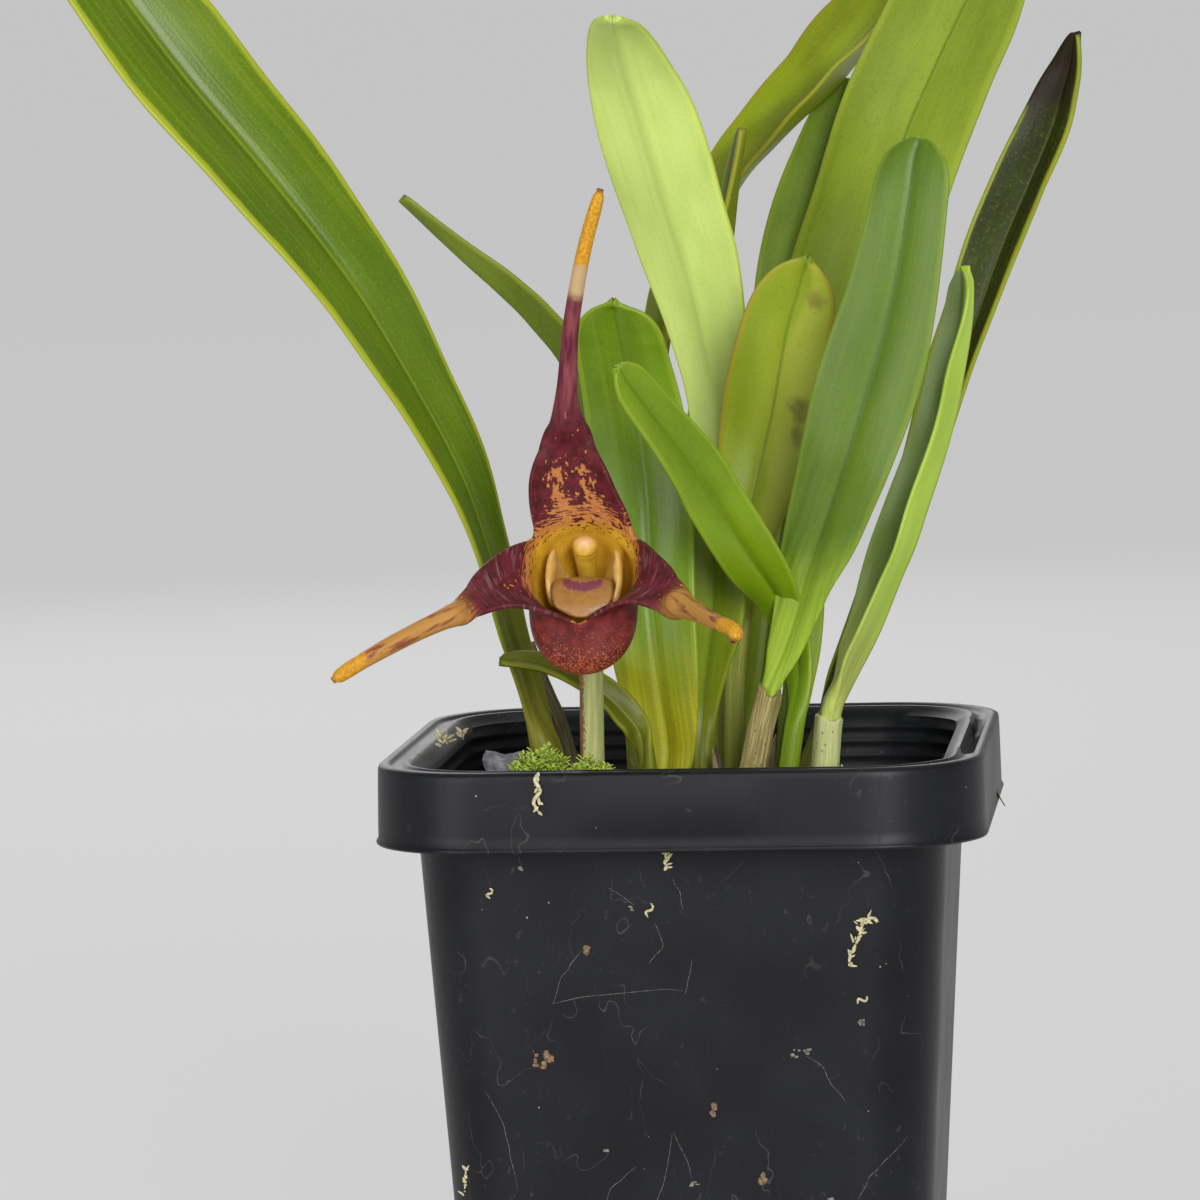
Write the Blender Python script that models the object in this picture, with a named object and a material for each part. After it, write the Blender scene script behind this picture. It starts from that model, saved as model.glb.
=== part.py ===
"""Masdevallia orchid, one flower and sixteen leaves, in a square black nursery pot.

The pot stands on z = 0, centred on the Z axis, with its sides along X and Y.
Driving sizes are in millimetres; the scene's unit is the metre.
"""

import math
import random

import bmesh
import bpy
from mathutils import Vector

MM = 0.001
CLEARANCE = 0.3
HOLE_GAP = 0.4
RHIZOME_GAP = 0.65

# Pot
POT_HEIGHT = 75.0
BASE_HALF = 27.0
BODY_TOP_HALF = 31.5
RIM_HALF = 35.4
RIM_BAND = 9.4
BODY_CORNER = 10.0
RIM_CORNER = 13.5
WALL = 1.0
BASE_THICKNESS = 1.5
DRAIN_RADIUS = 1.8
DRAIN_SPREAD = 17.0
CORNER_STEPS = 5

# Growing medium
MEDIUM_TOP = 66.0
BUMP = 0.7

# Rhizome, under the medium's surface
RHIZOME_Z = 52.0
RHIZOME_RADIUS = 2.2
STEM_FOOT_Z = 57.0
ROOT_RADIUS = 1.1
ROOT_FOOT_Z = 22.0

# Leaves
LEAF_STATIONS = 15
BLADE_THICKNESS = 1.0
OPENING_RUN = 7.0

# Flower
CUP_CENTRE = Vector((-8.8, -39.5, 98.9))
CUP_TILT = 33.0
CUP_DEPTH = 9.5
CUP_RIM_RADIUS = 6.2
SEPAL_THICKNESS = 0.8
SECTOR_COLUMNS = 9
CUP_ROWS = 6
LOBE_BEND = 52.0


# Each leaf: points along its midrib from the medium's surface to the tip, each with the blade's
# width there, the way its upper face looks at the foot and at the tip, how far each half is
# folded up (degrees), the radius of its round stem and the height where the stem opens out.
LEAVES = {
    "leaf_long_left": dict(
        line=[(-15.5, -8, 68, 3.8), (-17.8, -8.3, 77, 4.0), (-19, -8.8, 82, 4.2),
              (-20.8, -10.5, 89, 4.8), (-23, -13.5, 100, 6.6), (-26.3, -16.5, 110.5, 8.7),
              (-33.8, -22, 126.2, 11.4), (-38.8, -24, 134.4, 13.6), (-46.6, -26, 145.1, 15.0),
              (-54.9, -28, 155.8, 15.2), (-62.8, -29.5, 167.3, 14.6), (-70, -30, 179, 12.0),
              (-75, -30, 187, 7.5), (-76.5, -30, 189.5, 3.0)],
        face=[(0.75, -0.5, 0.4), (0.55, -0.75, 0.3)], fold=13, stem=1.9, opens=74),
    "leaf_left_arching": dict(
        line=[(-8, 11, 68, 3.0), (-9, 13, 86, 3.2), (-11, 15, 104, 4.0), (-15, 15, 118, 5.2),
              (-19.5, 13.5, 125, 5.2), (-23, 12, 129, 4.6), (-27, 11, 132.8, 3.7),
              (-31, 9.5, 136.8, 2.8), (-34.4, 8, 140.3, 1.4)],
        face=[(0.3, 0.9, 0.2), (0.62, 0.35, 0.7)], fold=24, stem=1.5, opens=72),
    "leaf_front_centre": dict(
        line=[(-3, -9, 68, 5.6), (-2.6, -9, 74, 6.4), (-3.2, -9, 80, 8.8), (-3.8, -9, 85.5, 10.2),
              (-4.4, -8, 93, 10.6), (-4.6, -7, 103, 11.2), (-5.2, -6.8, 110, 11.6),
              (-6, -7.2, 116, 11.2), (-6.7, -8.4, 120.4, 9.8), (-7.1, -10, 123.8, 7.6),
              (-7.4, -11.6, 126.4, 4.6), (-7.5, -12.3, 127.3, 2.2)],
        face=[(-0.25, -0.95, 0), (-0.15, -0.9, 0.35)], fold=8, stem=2.2, opens=68),
    "leaf_pale_underside": dict(
        line=[(0, 13, 68, 3.6), (1, 15.5, 86, 4.6), (2, 17.3, 104, 6.0), (2.2, 17.5, 114.5, 7.6),
              (0.9, 16.5, 123.5, 9.9), (-0.1, 15.5, 128.7, 11.4), (-1.3, 14, 133.8, 12.6),
              (-2.8, 12, 139.4, 13.1), (-4, 9.5, 144.7, 13.0), (-5.2, 7, 150, 12.2),
              (-6.2, 4, 154.3, 10.5), (-6.8, 0, 158, 8.0), (-7.1, -4, 160.4, 5.2),
              (-7.1, -7, 161.3, 2.4)],
        face=[(0.25, 0.95, 0), (0.1, 0.6, 0.8)], fold=6, stem=1.8, opens=74),
    "leaf_spotted": dict(
        line=[(4.2, 1.5, 68, 2.6), (4.5, 1.5, 77, 2.6), (4.8, 2.5, 88, 3.2), (5.1, 4, 94.5, 5.2),
              (6.2, 5.2, 100, 7.4), (8.1, 6, 107.6, 10.2), (9.2, 5.8, 111.8, 11.4),
              (10, 5, 115.2, 11.9), (10.9, 4, 119.5, 11.3), (11.8, 3, 123.5, 9.9),
              (12.9, 2, 126.8, 7.8), (13.8, 1, 129.5, 5.0), (14.5, 0, 131.5, 2.2)],
        face=[(-0.1, -1, 0), (0.1, -0.95, 0.3)], fold=12, stem=1.3, opens=82),
    "leaf_front_diagonal": dict(
        line=[(10, -13, 68, 2.4), (9.4, -13, 80.5, 2.4), (9.6, -13, 85.5, 2.6),
              (9.9, -13.2, 89.9, 3.3), (9.2, -13.5, 94, 4.7), (7.9, -14.5, 97.8, 6.1),
              (6.1, -16, 101.3, 6.6), (4.5, -18, 104.5, 6.8), (2.9, -20.5, 108, 6.9),
              (0.7, -23.5, 111.8, 6.5), (-1.6, -26.5, 115.5, 5.2), (-3.7, -29.5, 119, 3.3),
              (-4.8, -31, 120.9, 1.7)],
        face=[(-0.65, -0.7, -0.1), (0.35, -0.8, 0.5)], fold=16, stem=1.2, opens=76),
    "leaf_tall_front": dict(
        line=[(6.5, -7.5, 68, 1.8), (8.2, -7.6, 76, 1.8), (9.7, -7.8, 81.5, 2.0),
              (11.2, -8, 85.5, 3.6), (12.8, -8.3, 90.1, 5.1), (14.2, -8.7, 94.8, 6.9),
              (16.2, -9, 99.7, 8.9), (18, -9.5, 104.7, 10.2), (19.5, -10, 109, 11.2),
              (21.6, -10, 115.5, 12.0), (23.7, -10, 122, 11.8), (25.1, -10, 127, 11.0),
              (26.1, -10, 131.4, 10.2), (27, -9.9, 136, 9.1), (27.7, -9.6, 140.3, 7.3),
              (28.2, -9, 143.8, 4.8), (28.8, -8.3, 146, 2.2)],
        face=[(-0.3, -0.95, 0), (-0.25, -0.95, 0.2)], fold=9, stem=0.85, opens=82),
    "leaf_right_folded": dict(
        line=[(15.2, -2, 68, 2.2), (16.2, -2, 77.5, 2.4), (17.6, -2, 81, 4.4),
              (18.9, -2, 83.5, 5.7), (21.3, -2, 88, 7.2), (24, -2, 94.3, 8.5),
              (25.7, -2.2, 98, 9.2), (27.4, -2.5, 102.8, 9.0), (29.5, -3, 108.7, 8.3),
              (30.9, -3.4, 113.5, 7.8), (32.1, -3.8, 119, 7.4), (33, -4.2, 124, 6.7),
              (33.3, -4.6, 127.9, 5.2), (33.2, -4.8, 130.2, 2.6)],
        face=[(-0.95, -0.15, 0.2), (-0.9, -0.4, 0.3)], fold=30, stem=1.1, opens=80.5),
    "leaf_broad_back": dict(
        line=[(5, 18, 68, 3.8), (8, 23, 92, 5.5), (12, 27, 112, 10.5), (17.5, 28.6, 125, 16.4),
              (21, 28, 134.2, 17.6), (25, 25, 145.6, 17.8), (29.3, 22.5, 154.7, 17.9),
              (33.6, 19.5, 163, 17.6), (37.5, 16, 171.2, 16.0), (41, 12.5, 178.6, 12.8),
              (43.7, 9.5, 184.7, 8.0), (45, 8, 188.1, 3.0)],
        face=[(-0.2, -0.95, 0), (-0.35, -0.85, 0.45)], fold=14, stem=1.9, opens=74),
    "leaf_olive_back": dict(
        line=[(-2.5, 21, 68, 3.2), (-5, 25, 86, 3.4), (-6.8, 31, 112, 3.6), (-5, 32, 125.5, 4.4),
              (-0.4, 33, 134.5, 6.1), (4, 33.5, 141.7, 7.4), (7.6, 34, 145.5, 8.7),
              (11, 34, 148.8, 10.2), (14.8, 34, 152, 11.6), (18.2, 34, 155.9, 12.3),
              (22.3, 33, 160.5, 12.0), (26.1, 31.5, 165.6, 9.6), (28.4, 30, 169.4, 5.6),
              (29.4, 29, 171.8, 2.4)],
        face=[(-0.3, -0.9, 0.1), (-0.75, -0.45, 0.5)], fold=34, stem=1.6, opens=74),
    "leaf_narrow_tip": dict(
        line=[(-6.5, 17, 68, 2.6), (-4, 19, 88, 3.2), (-1, 23, 108, 4.2), (2.1, 25.5, 131, 4.0),
              (3.2, 25, 138.5, 3.4), (4, 24.5, 143, 2.6), (4.8, 24, 147.1, 1.4)],
        face=[(-0.9, -0.4, 0), (-0.9, -0.3, 0.3)], fold=30, stem=1.3, opens=72),
    "leaf_blue_back": dict(
        line=[(2, 26, 68, 2.8), (6, 33, 90, 4.2), (8.6, 37, 112, 7.0), (9.6, 38, 124, 8.6),
              (11, 38, 132, 9.0), (13, 37.5, 139.5, 8.2), (15, 37, 146, 6.2),
              (16.6, 36.4, 150.4, 3.8), (17.3, 36, 152.6, 1.8)],
        face=[(0.2, -0.9, 0), (-0.2, -0.9, 0.4)], fold=12, stem=1.4, opens=74),
    "leaf_brown_tip": dict(
        line=[(12, 10, 68, 2.8), (20, 14, 88, 3.6), (26.5, 17, 103, 5.2), (31, 19, 116.5, 6.6),
              (33.9, 19.6, 124, 7.2), (36.9, 19.8, 132, 7.4), (40.2, 19.4, 139.4, 7.5),
              (42.3, 18.8, 144, 7.4), (43.7, 18, 147.6, 6.9), (44.7, 17, 151, 5.7),
              (45.7, 16, 154.2, 3.9), (46.4, 14.6, 157.6, 1.5)],
        face=[(-0.6, -0.75, 0.2), (-0.5, -0.8, 0.35)], fold=30, stem=1.4, opens=74),
    "leaf_low_curl": dict(
        line=[(-4, -15.6, 68, 2.2), (-4.8, -15.7, 76, 2.4), (-6.8, -15.9, 79.4, 3.2),
              (-9.4, -16.1, 82, 3.6), (-12.9, -16.4, 84.2, 3.4), (-15.8, -16.8, 85.5, 2.8),
              (-18.7, -17.4, 86.3, 2.4), (-20.9, -17.8, 86.5, 1.8)],
        face=[(-0.5, -0.3, 0.7), (-0.05, -0.5, 0.85)], fold=24, stem=1.1, opens=71),
    "leaf_short_right": dict(
        line=[(10.6, -4, 68, 2.6), (11.4, -4, 76, 2.8), (12.4, -4, 81, 3.2), (13, -3.6, 86, 4.0),
              (13.6, -3, 92, 3.6), (14, -2.6, 96.5, 1.6)],
        face=[(0.5, 0.85, 0), (0.3, 0.9, 0.3)], fold=24, stem=1.2, opens=71),
    "leaf_hidden_middle": dict(
        line=[(0.5, -1.5, 68, 2.6), (0.9, -1.2, 77, 2.8), (1.6, -1.6, 83, 4.4), (2.4, -2.4, 88, 6.4),
              (2.8, -3, 93, 7.4), (2.6, -3.6, 98, 6.8), (2.1, -4.6, 103, 4.4), (1.9, -5.4, 106.4, 1.8)],
        face=[(0, -1, 0), (0, -0.95, 0.3)], fold=10, stem=1.4, opens=72),
}

# Flower stalk and a withered one from an earlier bloom, as points with a radius.
STALK = [(-10.8, -17.5, 57, 1.45), (-10.8, -17.5, 68, 1.45), (-10.5, -19.2, 78, 1.42),
         (-10.1, -21.8, 85, 1.4), (-9.7, -24.8, 89, 1.4), (-9.3, -28.2, 91.6, 1.45),
         (-9.12, -30.9, 93.3, 1.4)]
OLD_STALK = [(-14.2, -3, 57, 0.85), (-14.2, -3, 68, 0.85), (-15.6, -3, 76, 0.75),
             (-17.6, -3.6, 82, 0.6), (-19.2, -4.2, 87, 0.5)]

# Sepals: the range of the cup's rim that each one takes (degrees), then points along its lobe
# and tail, each with the width there.
SEPALS = {
    "dorsal": dict(
        sector=(35, 145),
        line=[(-10, -36.4, 106.2, 10.4), (-10.2, -36.6, 108.6, 10.0), (-10.4, -37, 110.6, 9.0),
              (-10.4, -37.7, 112.7, 6.9), (-10.3, -38.3, 114.7, 4.6), (-10.3, -38.9, 116.9, 3.1),
              (-10.1, -39.6, 120, 2.3), (-9.6, -41, 125.4, 1.9), (-9, -42, 129.1, 1.8),
              (-8.2, -43, 133, 1.7), (-7.3, -43.9, 136.6, 1.6), (-6.3, -44.6, 139.6, 1.5),
              (-5.6, -45, 141.8, 1.1)]),
    "left": dict(
        sector=(145, 270),
        line=[(-16.4, -42, 97.2, 8.6), (-18, -43.2, 96.8, 6.9), (-19.6, -44.2, 96.1, 5.1),
              (-21, -45.1, 95.4, 3.7), (-22.4, -46.1, 94.7, 2.8), (-24.5, -47.2, 93.8, 2.3),
              (-27, -48.3, 92.7, 2.1), (-29.7, -49.5, 91.4, 2.0), (-32.7, -50.8, 89.8, 1.8),
              (-34.7, -51.7, 88.6, 1.7), (-36, -52, 87.7, 1.2)]),
    "right": dict(
        sector=(-90, 35),
        line=[(-2.9, -42.2, 97.4, 8.6), (-1.3, -43.4, 97.1, 7.3), (0.1, -44.6, 96.7, 6.1),
              (1.3, -45.9, 96.2, 4.8), (2.5, -47.4, 95.6, 3.6), (4.0, -49.5, 95.1, 2.6),
              (6, -53, 94.5, 2.0), (7.9, -56.5, 94, 1.8), (9.4, -58.8, 93.7, 1.7),
              (10.1, -60, 93.2, 1.7), (9.9, -60.8, 92.3, 1.3)]),
}


def material(name, colour, roughness, metallic=0.0):
    """A Principled material with a plain colour."""
    made = bpy.data.materials.new(name)
    made.use_nodes = True
    shader = made.node_tree.nodes["Principled BSDF"]
    shader.inputs["Base Color"].default_value = (*colour, 1.0)
    shader.inputs["Roughness"].default_value = roughness
    shader.inputs["Metallic"].default_value = metallic
    return made


def add(name, verts, faces, finish, smooth=True):
    """One named object from points in millimetres."""
    mesh = bpy.data.meshes.new(name)
    mesh.from_pydata([tuple(Vector(v) * MM) for v in verts], [], faces)
    shell = bmesh.new()
    shell.from_mesh(mesh)
    bmesh.ops.recalc_face_normals(shell, faces=shell.faces)
    shell.to_mesh(mesh)
    shell.free()
    mesh.materials.append(finish)
    obj = bpy.data.objects.new(name, mesh)
    bpy.context.scene.collection.objects.link(obj)
    if smooth:
        mesh.shade_smooth()
        mesh.set_sharp_from_angle(angle=math.radians(50))
    return obj


def helper(obj):
    """Marks a cutter or a joined piece, which the part itself doesn't show."""
    obj.hide_render = True
    obj.display_type = "WIRE"
    return obj


def ease(x):
    """0 to 1 with level ends."""
    x = max(0.0, min(1.0, x))
    return x * x * (3 - 2 * x)


def mix(a, b, share):
    return a + (b - a) * share


def smooth_path(points, count):
    """A smooth curve through the points, resampled at even steps; a fourth number is a width."""
    pts = [Vector(p) for p in points]
    pts = [2 * pts[0] - pts[1], *pts, 2 * pts[-1] - pts[-2]]
    fine = []
    for p0, p1, p2, p3 in zip(pts, pts[1:], pts[2:], pts[3:]):
        for k in range(12):
            t = k / 12
            fine.append(0.5 * (2 * p1 + (p2 - p0) * t + (2 * p0 - 5 * p1 + 4 * p2 - p3) * t * t
                               + (3 * p1 - p0 - 3 * p2 + p3) * t ** 3))
    fine.append(pts[-2])
    run = [0.0]
    for a, b in zip(fine, fine[1:]):
        run.append(run[-1] + (b.xyz - a.xyz).length)
    even, k = [], 0
    for i in range(count):
        want = run[-1] * i / (count - 1)
        while k < len(fine) - 2 and run[k + 1] < want:
            k += 1
        even.append(fine[k].lerp(fine[k + 1], min(1.0, (want - run[k]) / (run[k + 1] - run[k]))))
    return even


def tangents(points):
    ends = [points[0], *points, points[-1]]
    return [(c - a).normalized() for a, c in zip(ends, ends[2:])]


def loft(name, rings, finish):
    """A closed body through rings of equally many points, with its two ends filled."""
    sides = len(rings[0])
    verts = [p for ring in rings for p in ring]
    faces = [tuple(reversed(range(sides))),
             tuple(range(len(verts) - sides, len(verts)))]
    for r in range(len(rings) - 1):
        for k in range(sides):
            a, b = r * sides + k, r * sides + (k + 1) % sides
            faces.append((a, b, b + sides, a + sides))
    return add(name, verts, faces, finish)


def circle(centre, along, radius, sides, up=Vector((0, -1, 0))):
    """A ring of points round a line's direction."""
    side = along.cross(up).normalized()
    other = side.cross(along)
    turn = 2 * math.pi / sides
    return [centre + (side * math.cos(k * turn) + other * math.sin(k * turn)) * radius
            for k in range(sides)]


def tube(name, points, sides, finish, count=None):
    """A round tube; each point's fourth number is the radius, and a count makes it smooth."""
    path = smooth_path(points, count) if count else [Vector(p) for p in points]
    ways = tangents([p.xyz for p in path])
    return loft(name, [circle(p.xyz, along, p.w, sides) for p, along in zip(path, ways)], finish)


def union(name, pieces, finish):
    """Joins overlapping pieces into one body and removes them."""
    group = bpy.data.collections.new(name + "_pieces")
    bpy.context.scene.collection.children.link(group)
    first, rest = pieces[0], pieces[1:]
    for piece in rest:
        bpy.context.scene.collection.objects.unlink(piece)
        group.objects.link(piece)
    join = first.modifiers.new("join", "BOOLEAN")
    join.operation = "UNION"
    join.operand_type = "COLLECTION"
    join.collection = group
    return apply(name, first, finish, rest, group)


def apply(name, obj, finish, spent, group=None):
    """Keeps the object's mesh as its modifiers leave it, under a new name."""
    bpy.context.view_layer.update()
    graph = bpy.context.evaluated_depsgraph_get()
    mesh = bpy.data.meshes.new_from_object(obj.evaluated_get(graph))
    for piece in [obj, *spent]:
        bpy.data.objects.remove(piece)
    if group:
        bpy.data.collections.remove(group)
    made = bpy.data.objects.new(name, mesh)
    mesh.materials.clear()
    mesh.materials.append(finish)
    bpy.context.scene.collection.objects.link(made)
    return made


def rounded_square(half, corner, z):
    """One ring of the pot: four arcs joined by straight sides."""
    ring = []
    for k, (sx, sy) in enumerate([(1, -1), (1, 1), (-1, 1), (-1, -1)]):
        for i in range(CORNER_STEPS + 1):
            a = (k - 1) * math.pi / 2 + i * math.pi / 2 / CORNER_STEPS
            ring.append(Vector((sx * (half - corner) + corner * math.cos(a),
                                sy * (half - corner) + corner * math.sin(a), z)))
    return ring


def body_half(z, inset=0.0):
    """Half the width of the pot's tapered body at a height."""
    return mix(BASE_HALF, BODY_TOP_HALF, z / POT_HEIGHT) - inset


def drain_places():
    """Where the drain holes are: the four corners and the middle of each side."""
    spots = [(sx * DRAIN_SPREAD, sy * DRAIN_SPREAD) for sx in (-1, 1) for sy in (-1, 1)]
    return spots + [(DRAIN_SPREAD, 0), (-DRAIN_SPREAD, 0), (0, DRAIN_SPREAD), (0, -DRAIN_SPREAD)]


def pot(finish):
    """Tapered square pot, its wall turned over at the top into a hanging rim band."""
    lip = POT_HEIGHT
    rim_foot = lip - RIM_BAND
    profile = [
        (body_half(0) - 0.8, BODY_CORNER, 0), (body_half(0), BODY_CORNER, 0.8),
        (body_half(lip - 1.2), BODY_CORNER, lip - 1.2 - WALL),
        (RIM_HALF - WALL, RIM_CORNER, lip - 1.4 - WALL), (RIM_HALF - WALL, RIM_CORNER, rim_foot),
        (RIM_HALF + 0.2, RIM_CORNER, rim_foot), (RIM_HALF, RIM_CORNER, lip - 0.7),
        (RIM_HALF - 0.7, RIM_CORNER, lip), (RIM_HALF - 1.5, RIM_CORNER, lip),
        (body_half(lip) + 0.4, BODY_CORNER, lip - 0.5), (body_half(lip, WALL), BODY_CORNER, lip - 1.2),
        (body_half(BASE_THICKNESS, WALL), BODY_CORNER, BASE_THICKNESS),
    ]
    shell = loft("pot", [rounded_square(*row) for row in profile], finish)
    for k, (x, y) in enumerate(drain_places()):
        ring = [Vector((x, y, z)) for z in (-2, BASE_THICKNESS + 2)]
        drill = loft(f"drain_cut_{k}", [circle(p, Vector((0, 0, 1)), DRAIN_RADIUS, 8) for p in ring],
                     finish)
        cut = shell.modifiers.new(f"drain_{k}", "BOOLEAN")
        cut.operation = "DIFFERENCE"
        cut.object = helper(drill)
    return shell


def medium_height(x, y):
    """The lumpy surface of the growing medium."""
    return MEDIUM_TOP + BUMP * (math.sin(x * 0.61 + 1.3) * math.cos(y * 0.53)
                                + 0.5 * math.sin(x * 1.1 - y * 0.9))


def medium(finish, cutters):
    """The block of bark, moss and grit that fills the pot, with a plain hole for each stem."""
    rings = []
    for z in (BASE_THICKNESS + CLEARANCE, MEDIUM_TOP - 3):
        half = body_half(z, WALL + CLEARANCE)
        rings.append(rounded_square(half, BODY_CORNER, z))
    half = body_half(MEDIUM_TOP, WALL + CLEARANCE)
    for share in (1.0, 0.86, 0.7, 0.53, 0.36, 0.19):
        flat = rounded_square(half * share, BODY_CORNER * share, 0)
        rings.append([Vector((p.x, p.y, medium_height(p.x, p.y) - 1.2 * ease(share * 4 - 3)))
                      for p in flat])
    block = loft("growing_medium", rings, finish)
    group = bpy.data.collections.new("stem_holes")
    bpy.context.scene.collection.children.link(group)
    for cutter in cutters:
        bpy.context.scene.collection.objects.unlink(cutter)
        group.objects.link(cutter)
    cut = block.modifiers.new("holes", "BOOLEAN")
    cut.operation = "DIFFERENCE"
    cut.operand_type = "COLLECTION"
    cut.collection = group
    return apply("growing_medium", block, finish, cutters, group)


def blade_profile(half, fold, thick):
    """Offsets (sideways, towards the upper face) round a folded blade's cross-section."""
    slope = math.radians(fold)
    upper = [(q * half, abs(q) ** 1.15 * half * math.tan(slope)) for q in (-1, -0.5, 0, 0.5, 1)]
    under = []
    for q, (x, z) in zip((1, 0.5, 0, -0.5, -1), reversed(upper)):
        depth = thick * (0.8 if abs(q) == 1 else 1.0)
        lean = math.sin(slope) * (q > 0) - math.sin(slope) * (q < 0)
        under.append((x + lean * depth, z - math.cos(slope if q else 0) * depth * (1 if q else 1.15)))
    return upper + under


def leaf_ring(centre, along, face, width, spec):
    """One cross-section of a leaf: round at the stem, opening into the folded blade."""
    side = along.cross(face).normalized()
    face = side.cross(along).normalized()
    opening = ease((centre.z - spec["opens"]) / OPENING_RUN)
    ring = []
    for k, (x, z) in enumerate(blade_profile(width / 2, spec["fold"], BLADE_THICKNESS)):
        turn = math.radians(162 - 36 * k)
        round_x, round_z = math.cos(turn) * spec["stem"], math.sin(turn) * spec["stem"]
        ring.append(centre + side * mix(round_x, x, opening) + face * mix(round_z, z, opening))
    return ring


def leaf(name, spec, finish):
    """A leaf with its stem: stations lie closer together towards the tip."""
    path = smooth_path(spec["line"], 60)
    first, last = (Vector(v).normalized() for v in spec["face"])
    foot = path[0].copy()
    foot.z = STEM_FOOT_Z
    path.insert(0, foot)
    ways = tangents([p.xyz for p in path])
    picks = [0, 1]
    for k in range(1, LEAF_STATIONS):
        share = k / (LEAF_STATIONS - 1)
        picks.append(1 + round(59 * share * (1.3 - 0.3 * share)))
    rings = []
    for k in picks:
        face = first.lerp(last, ease(k / 60))
        along = Vector((0, 0, 1)) if k < 2 else ways[k]
        rings.append(leaf_ring(path[k].xyz, along, face, path[k].w, spec))
    return loft(name, rings, finish)


def cup_frame():
    """Right, up and out of the flower's mouth."""
    tilt = math.radians(CUP_TILT)
    out = Vector((0.03, -math.cos(tilt), math.sin(tilt))).normalized()
    right = Vector((1, 0, 0))
    up = out.cross(right).normalized()
    return up.cross(out).normalized(), up, out


def cup_point(angle, t):
    """The sepals' cup: t is 0 at the ovary and 1 at the rim, and runs past it as a flare."""
    right, up, out = cup_frame()
    grow = math.sin(min(t, 1) * math.pi / 2) ** 0.75
    flare = 1.2 * max(0.0, t - 1) + 1.0
    radius = CUP_RIM_RADIUS * (0.2 + 0.8 * grow) * flare
    below = max(0.0, -math.sin(angle))
    radius *= 1 + 0.98 * below ** 1.5 * math.sin(math.pi * min(1, 0.12 + t * 0.88)) ** 0.8
    height = CUP_DEPTH * (t - 1) * (1 if t < 1 else 0.5)
    height -= 0.5 * below ** 2 * t
    return CUP_CENTRE + (right * math.cos(angle) + up * math.sin(angle)) * radius + out * height


def sector_grid(spec):
    """Rows of points over one sepal: its part of the cup, then its lobe and tail."""
    start, end = (math.radians(a) for a in spec["sector"])
    middle, spread = (start + end) / 2, (end - start) / 2
    right, up, out = cup_frame()
    columns = [-1 + 2 * c / (SECTOR_COLUMNS - 1) for c in range(SECTOR_COLUMNS)]
    rows = []
    for r in range(CUP_ROWS):
        t = r / (CUP_ROWS - 1)
        rows.append([cup_point(middle - q * spread, t) for q in columns])
    across = (right * math.sin(middle) - up * math.cos(middle)).normalized()
    path = [Vector(p) for p in spec["line"]]
    ways = tangents([cup_point(middle, 1), *(p.xyz for p in path)])[1:]
    bend = math.radians(LOBE_BEND)
    for r, (p, along) in enumerate(zip(path, ways)):
        half = p.w / 2
        side = (across - along * across.dot(along)).normalized()
        inward = along.cross(side)
        if inward.dot(out) < 0:
            inward = -inward
        blend = ease((r + 1) / 2)
        row = []
        for q in columns:
            arc = bend * q
            strip = p.xyz + side * (half * math.sin(arc) / math.sin(bend))
            strip += inward * (half * (1 - math.cos(arc)) / math.sin(bend))
            row.append(cup_point(middle - q * spread, 1.15).lerp(strip, blend))
        rows.append(row)
    return rows


def sepals(finish):
    """The three fused sepals as one shell: a shared cup and three lobes that end in tails."""
    verts, faces, index = [], [], {}

    def vertex(p):
        key = tuple(round(c, 3) for c in p)
        if key not in index:
            index[key] = len(verts)
            verts.append(p)
        return index[key]

    for spec in SEPALS.values():
        grid = [[vertex(p) for p in row] for row in sector_grid(spec)]
        for low, high in zip(grid, grid[1:]):
            for c in range(SECTOR_COLUMNS - 1):
                faces.append((low[c], low[c + 1], high[c + 1], high[c]))
    shell = add("sepals", verts, faces, finish)
    thicken = shell.modifiers.new("thickness", "SOLIDIFY")
    thicken.thickness = SEPAL_THICKNESS * MM
    thicken.offset = 0
    return shell


def in_cup(x, y, z):
    """A point in the flower's own frame: right, up, and out of the mouth from the rim's plane."""
    right, up, out = cup_frame()
    return CUP_CENTRE + right * x + up * y + out * z


def petal(name, side, finish):
    """A small strap beside the column, standing on edge and tallest at its front."""
    path = smooth_path([in_cup(side * 1.9, 0.4, -7.2), in_cup(side * 3.0, 0.2, -5.0),
                        in_cup(side * 3.7, -0.2, -2.8), in_cup(side * 3.9, -0.5, -0.8)], 6)
    up = cup_frame()[1]
    rings = []
    for half, p, along in zip((0.9, 1.3, 1.8, 2.3, 2.6, 2.2), path, tangents(path)):
        across = (up - along * along.dot(up)).normalized()
        thin = across.cross(along) * 0.36
        rings.append([p - across * half, p - across * half * 0.6 - thin, p + across * half * 0.6 - thin,
                      p + across * half, p + across * half * 0.6 + thin,
                      p - across * half * 0.6 + thin])
    return loft(name, rings, finish)


def lip(finish):
    """The lip: a fleshy tongue that rises from the cup's floor and turns down at its front."""
    path = smooth_path([in_cup(0, -1.6, -7.2), in_cup(0, -1.2, -5), in_cup(0, -0.7, -2.9),
                        in_cup(0, -1.3, -1.2), in_cup(0, -2.9, -0.5), in_cup(0, -4.6, -0.8)], 11)
    right = cup_frame()[0]
    halves = (0.8, 1.1, 1.5, 2.0, 2.4, 2.8, 3.0, 3.1, 3.0, 2.6, 1.8)
    rings = []
    for half, p, along in zip(halves, path, tangents(path)):
        up = right.cross(along).normalized()
        rings.append([p + right * (half * x) + up * z for x, z in
                      ((-1, 0), (-0.6, 0.4), (0, 0.32), (0.6, 0.4), (1, 0), (0.6, -0.4), (-0.6, -0.4))])
    return loft("lip", rings, finish)


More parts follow.
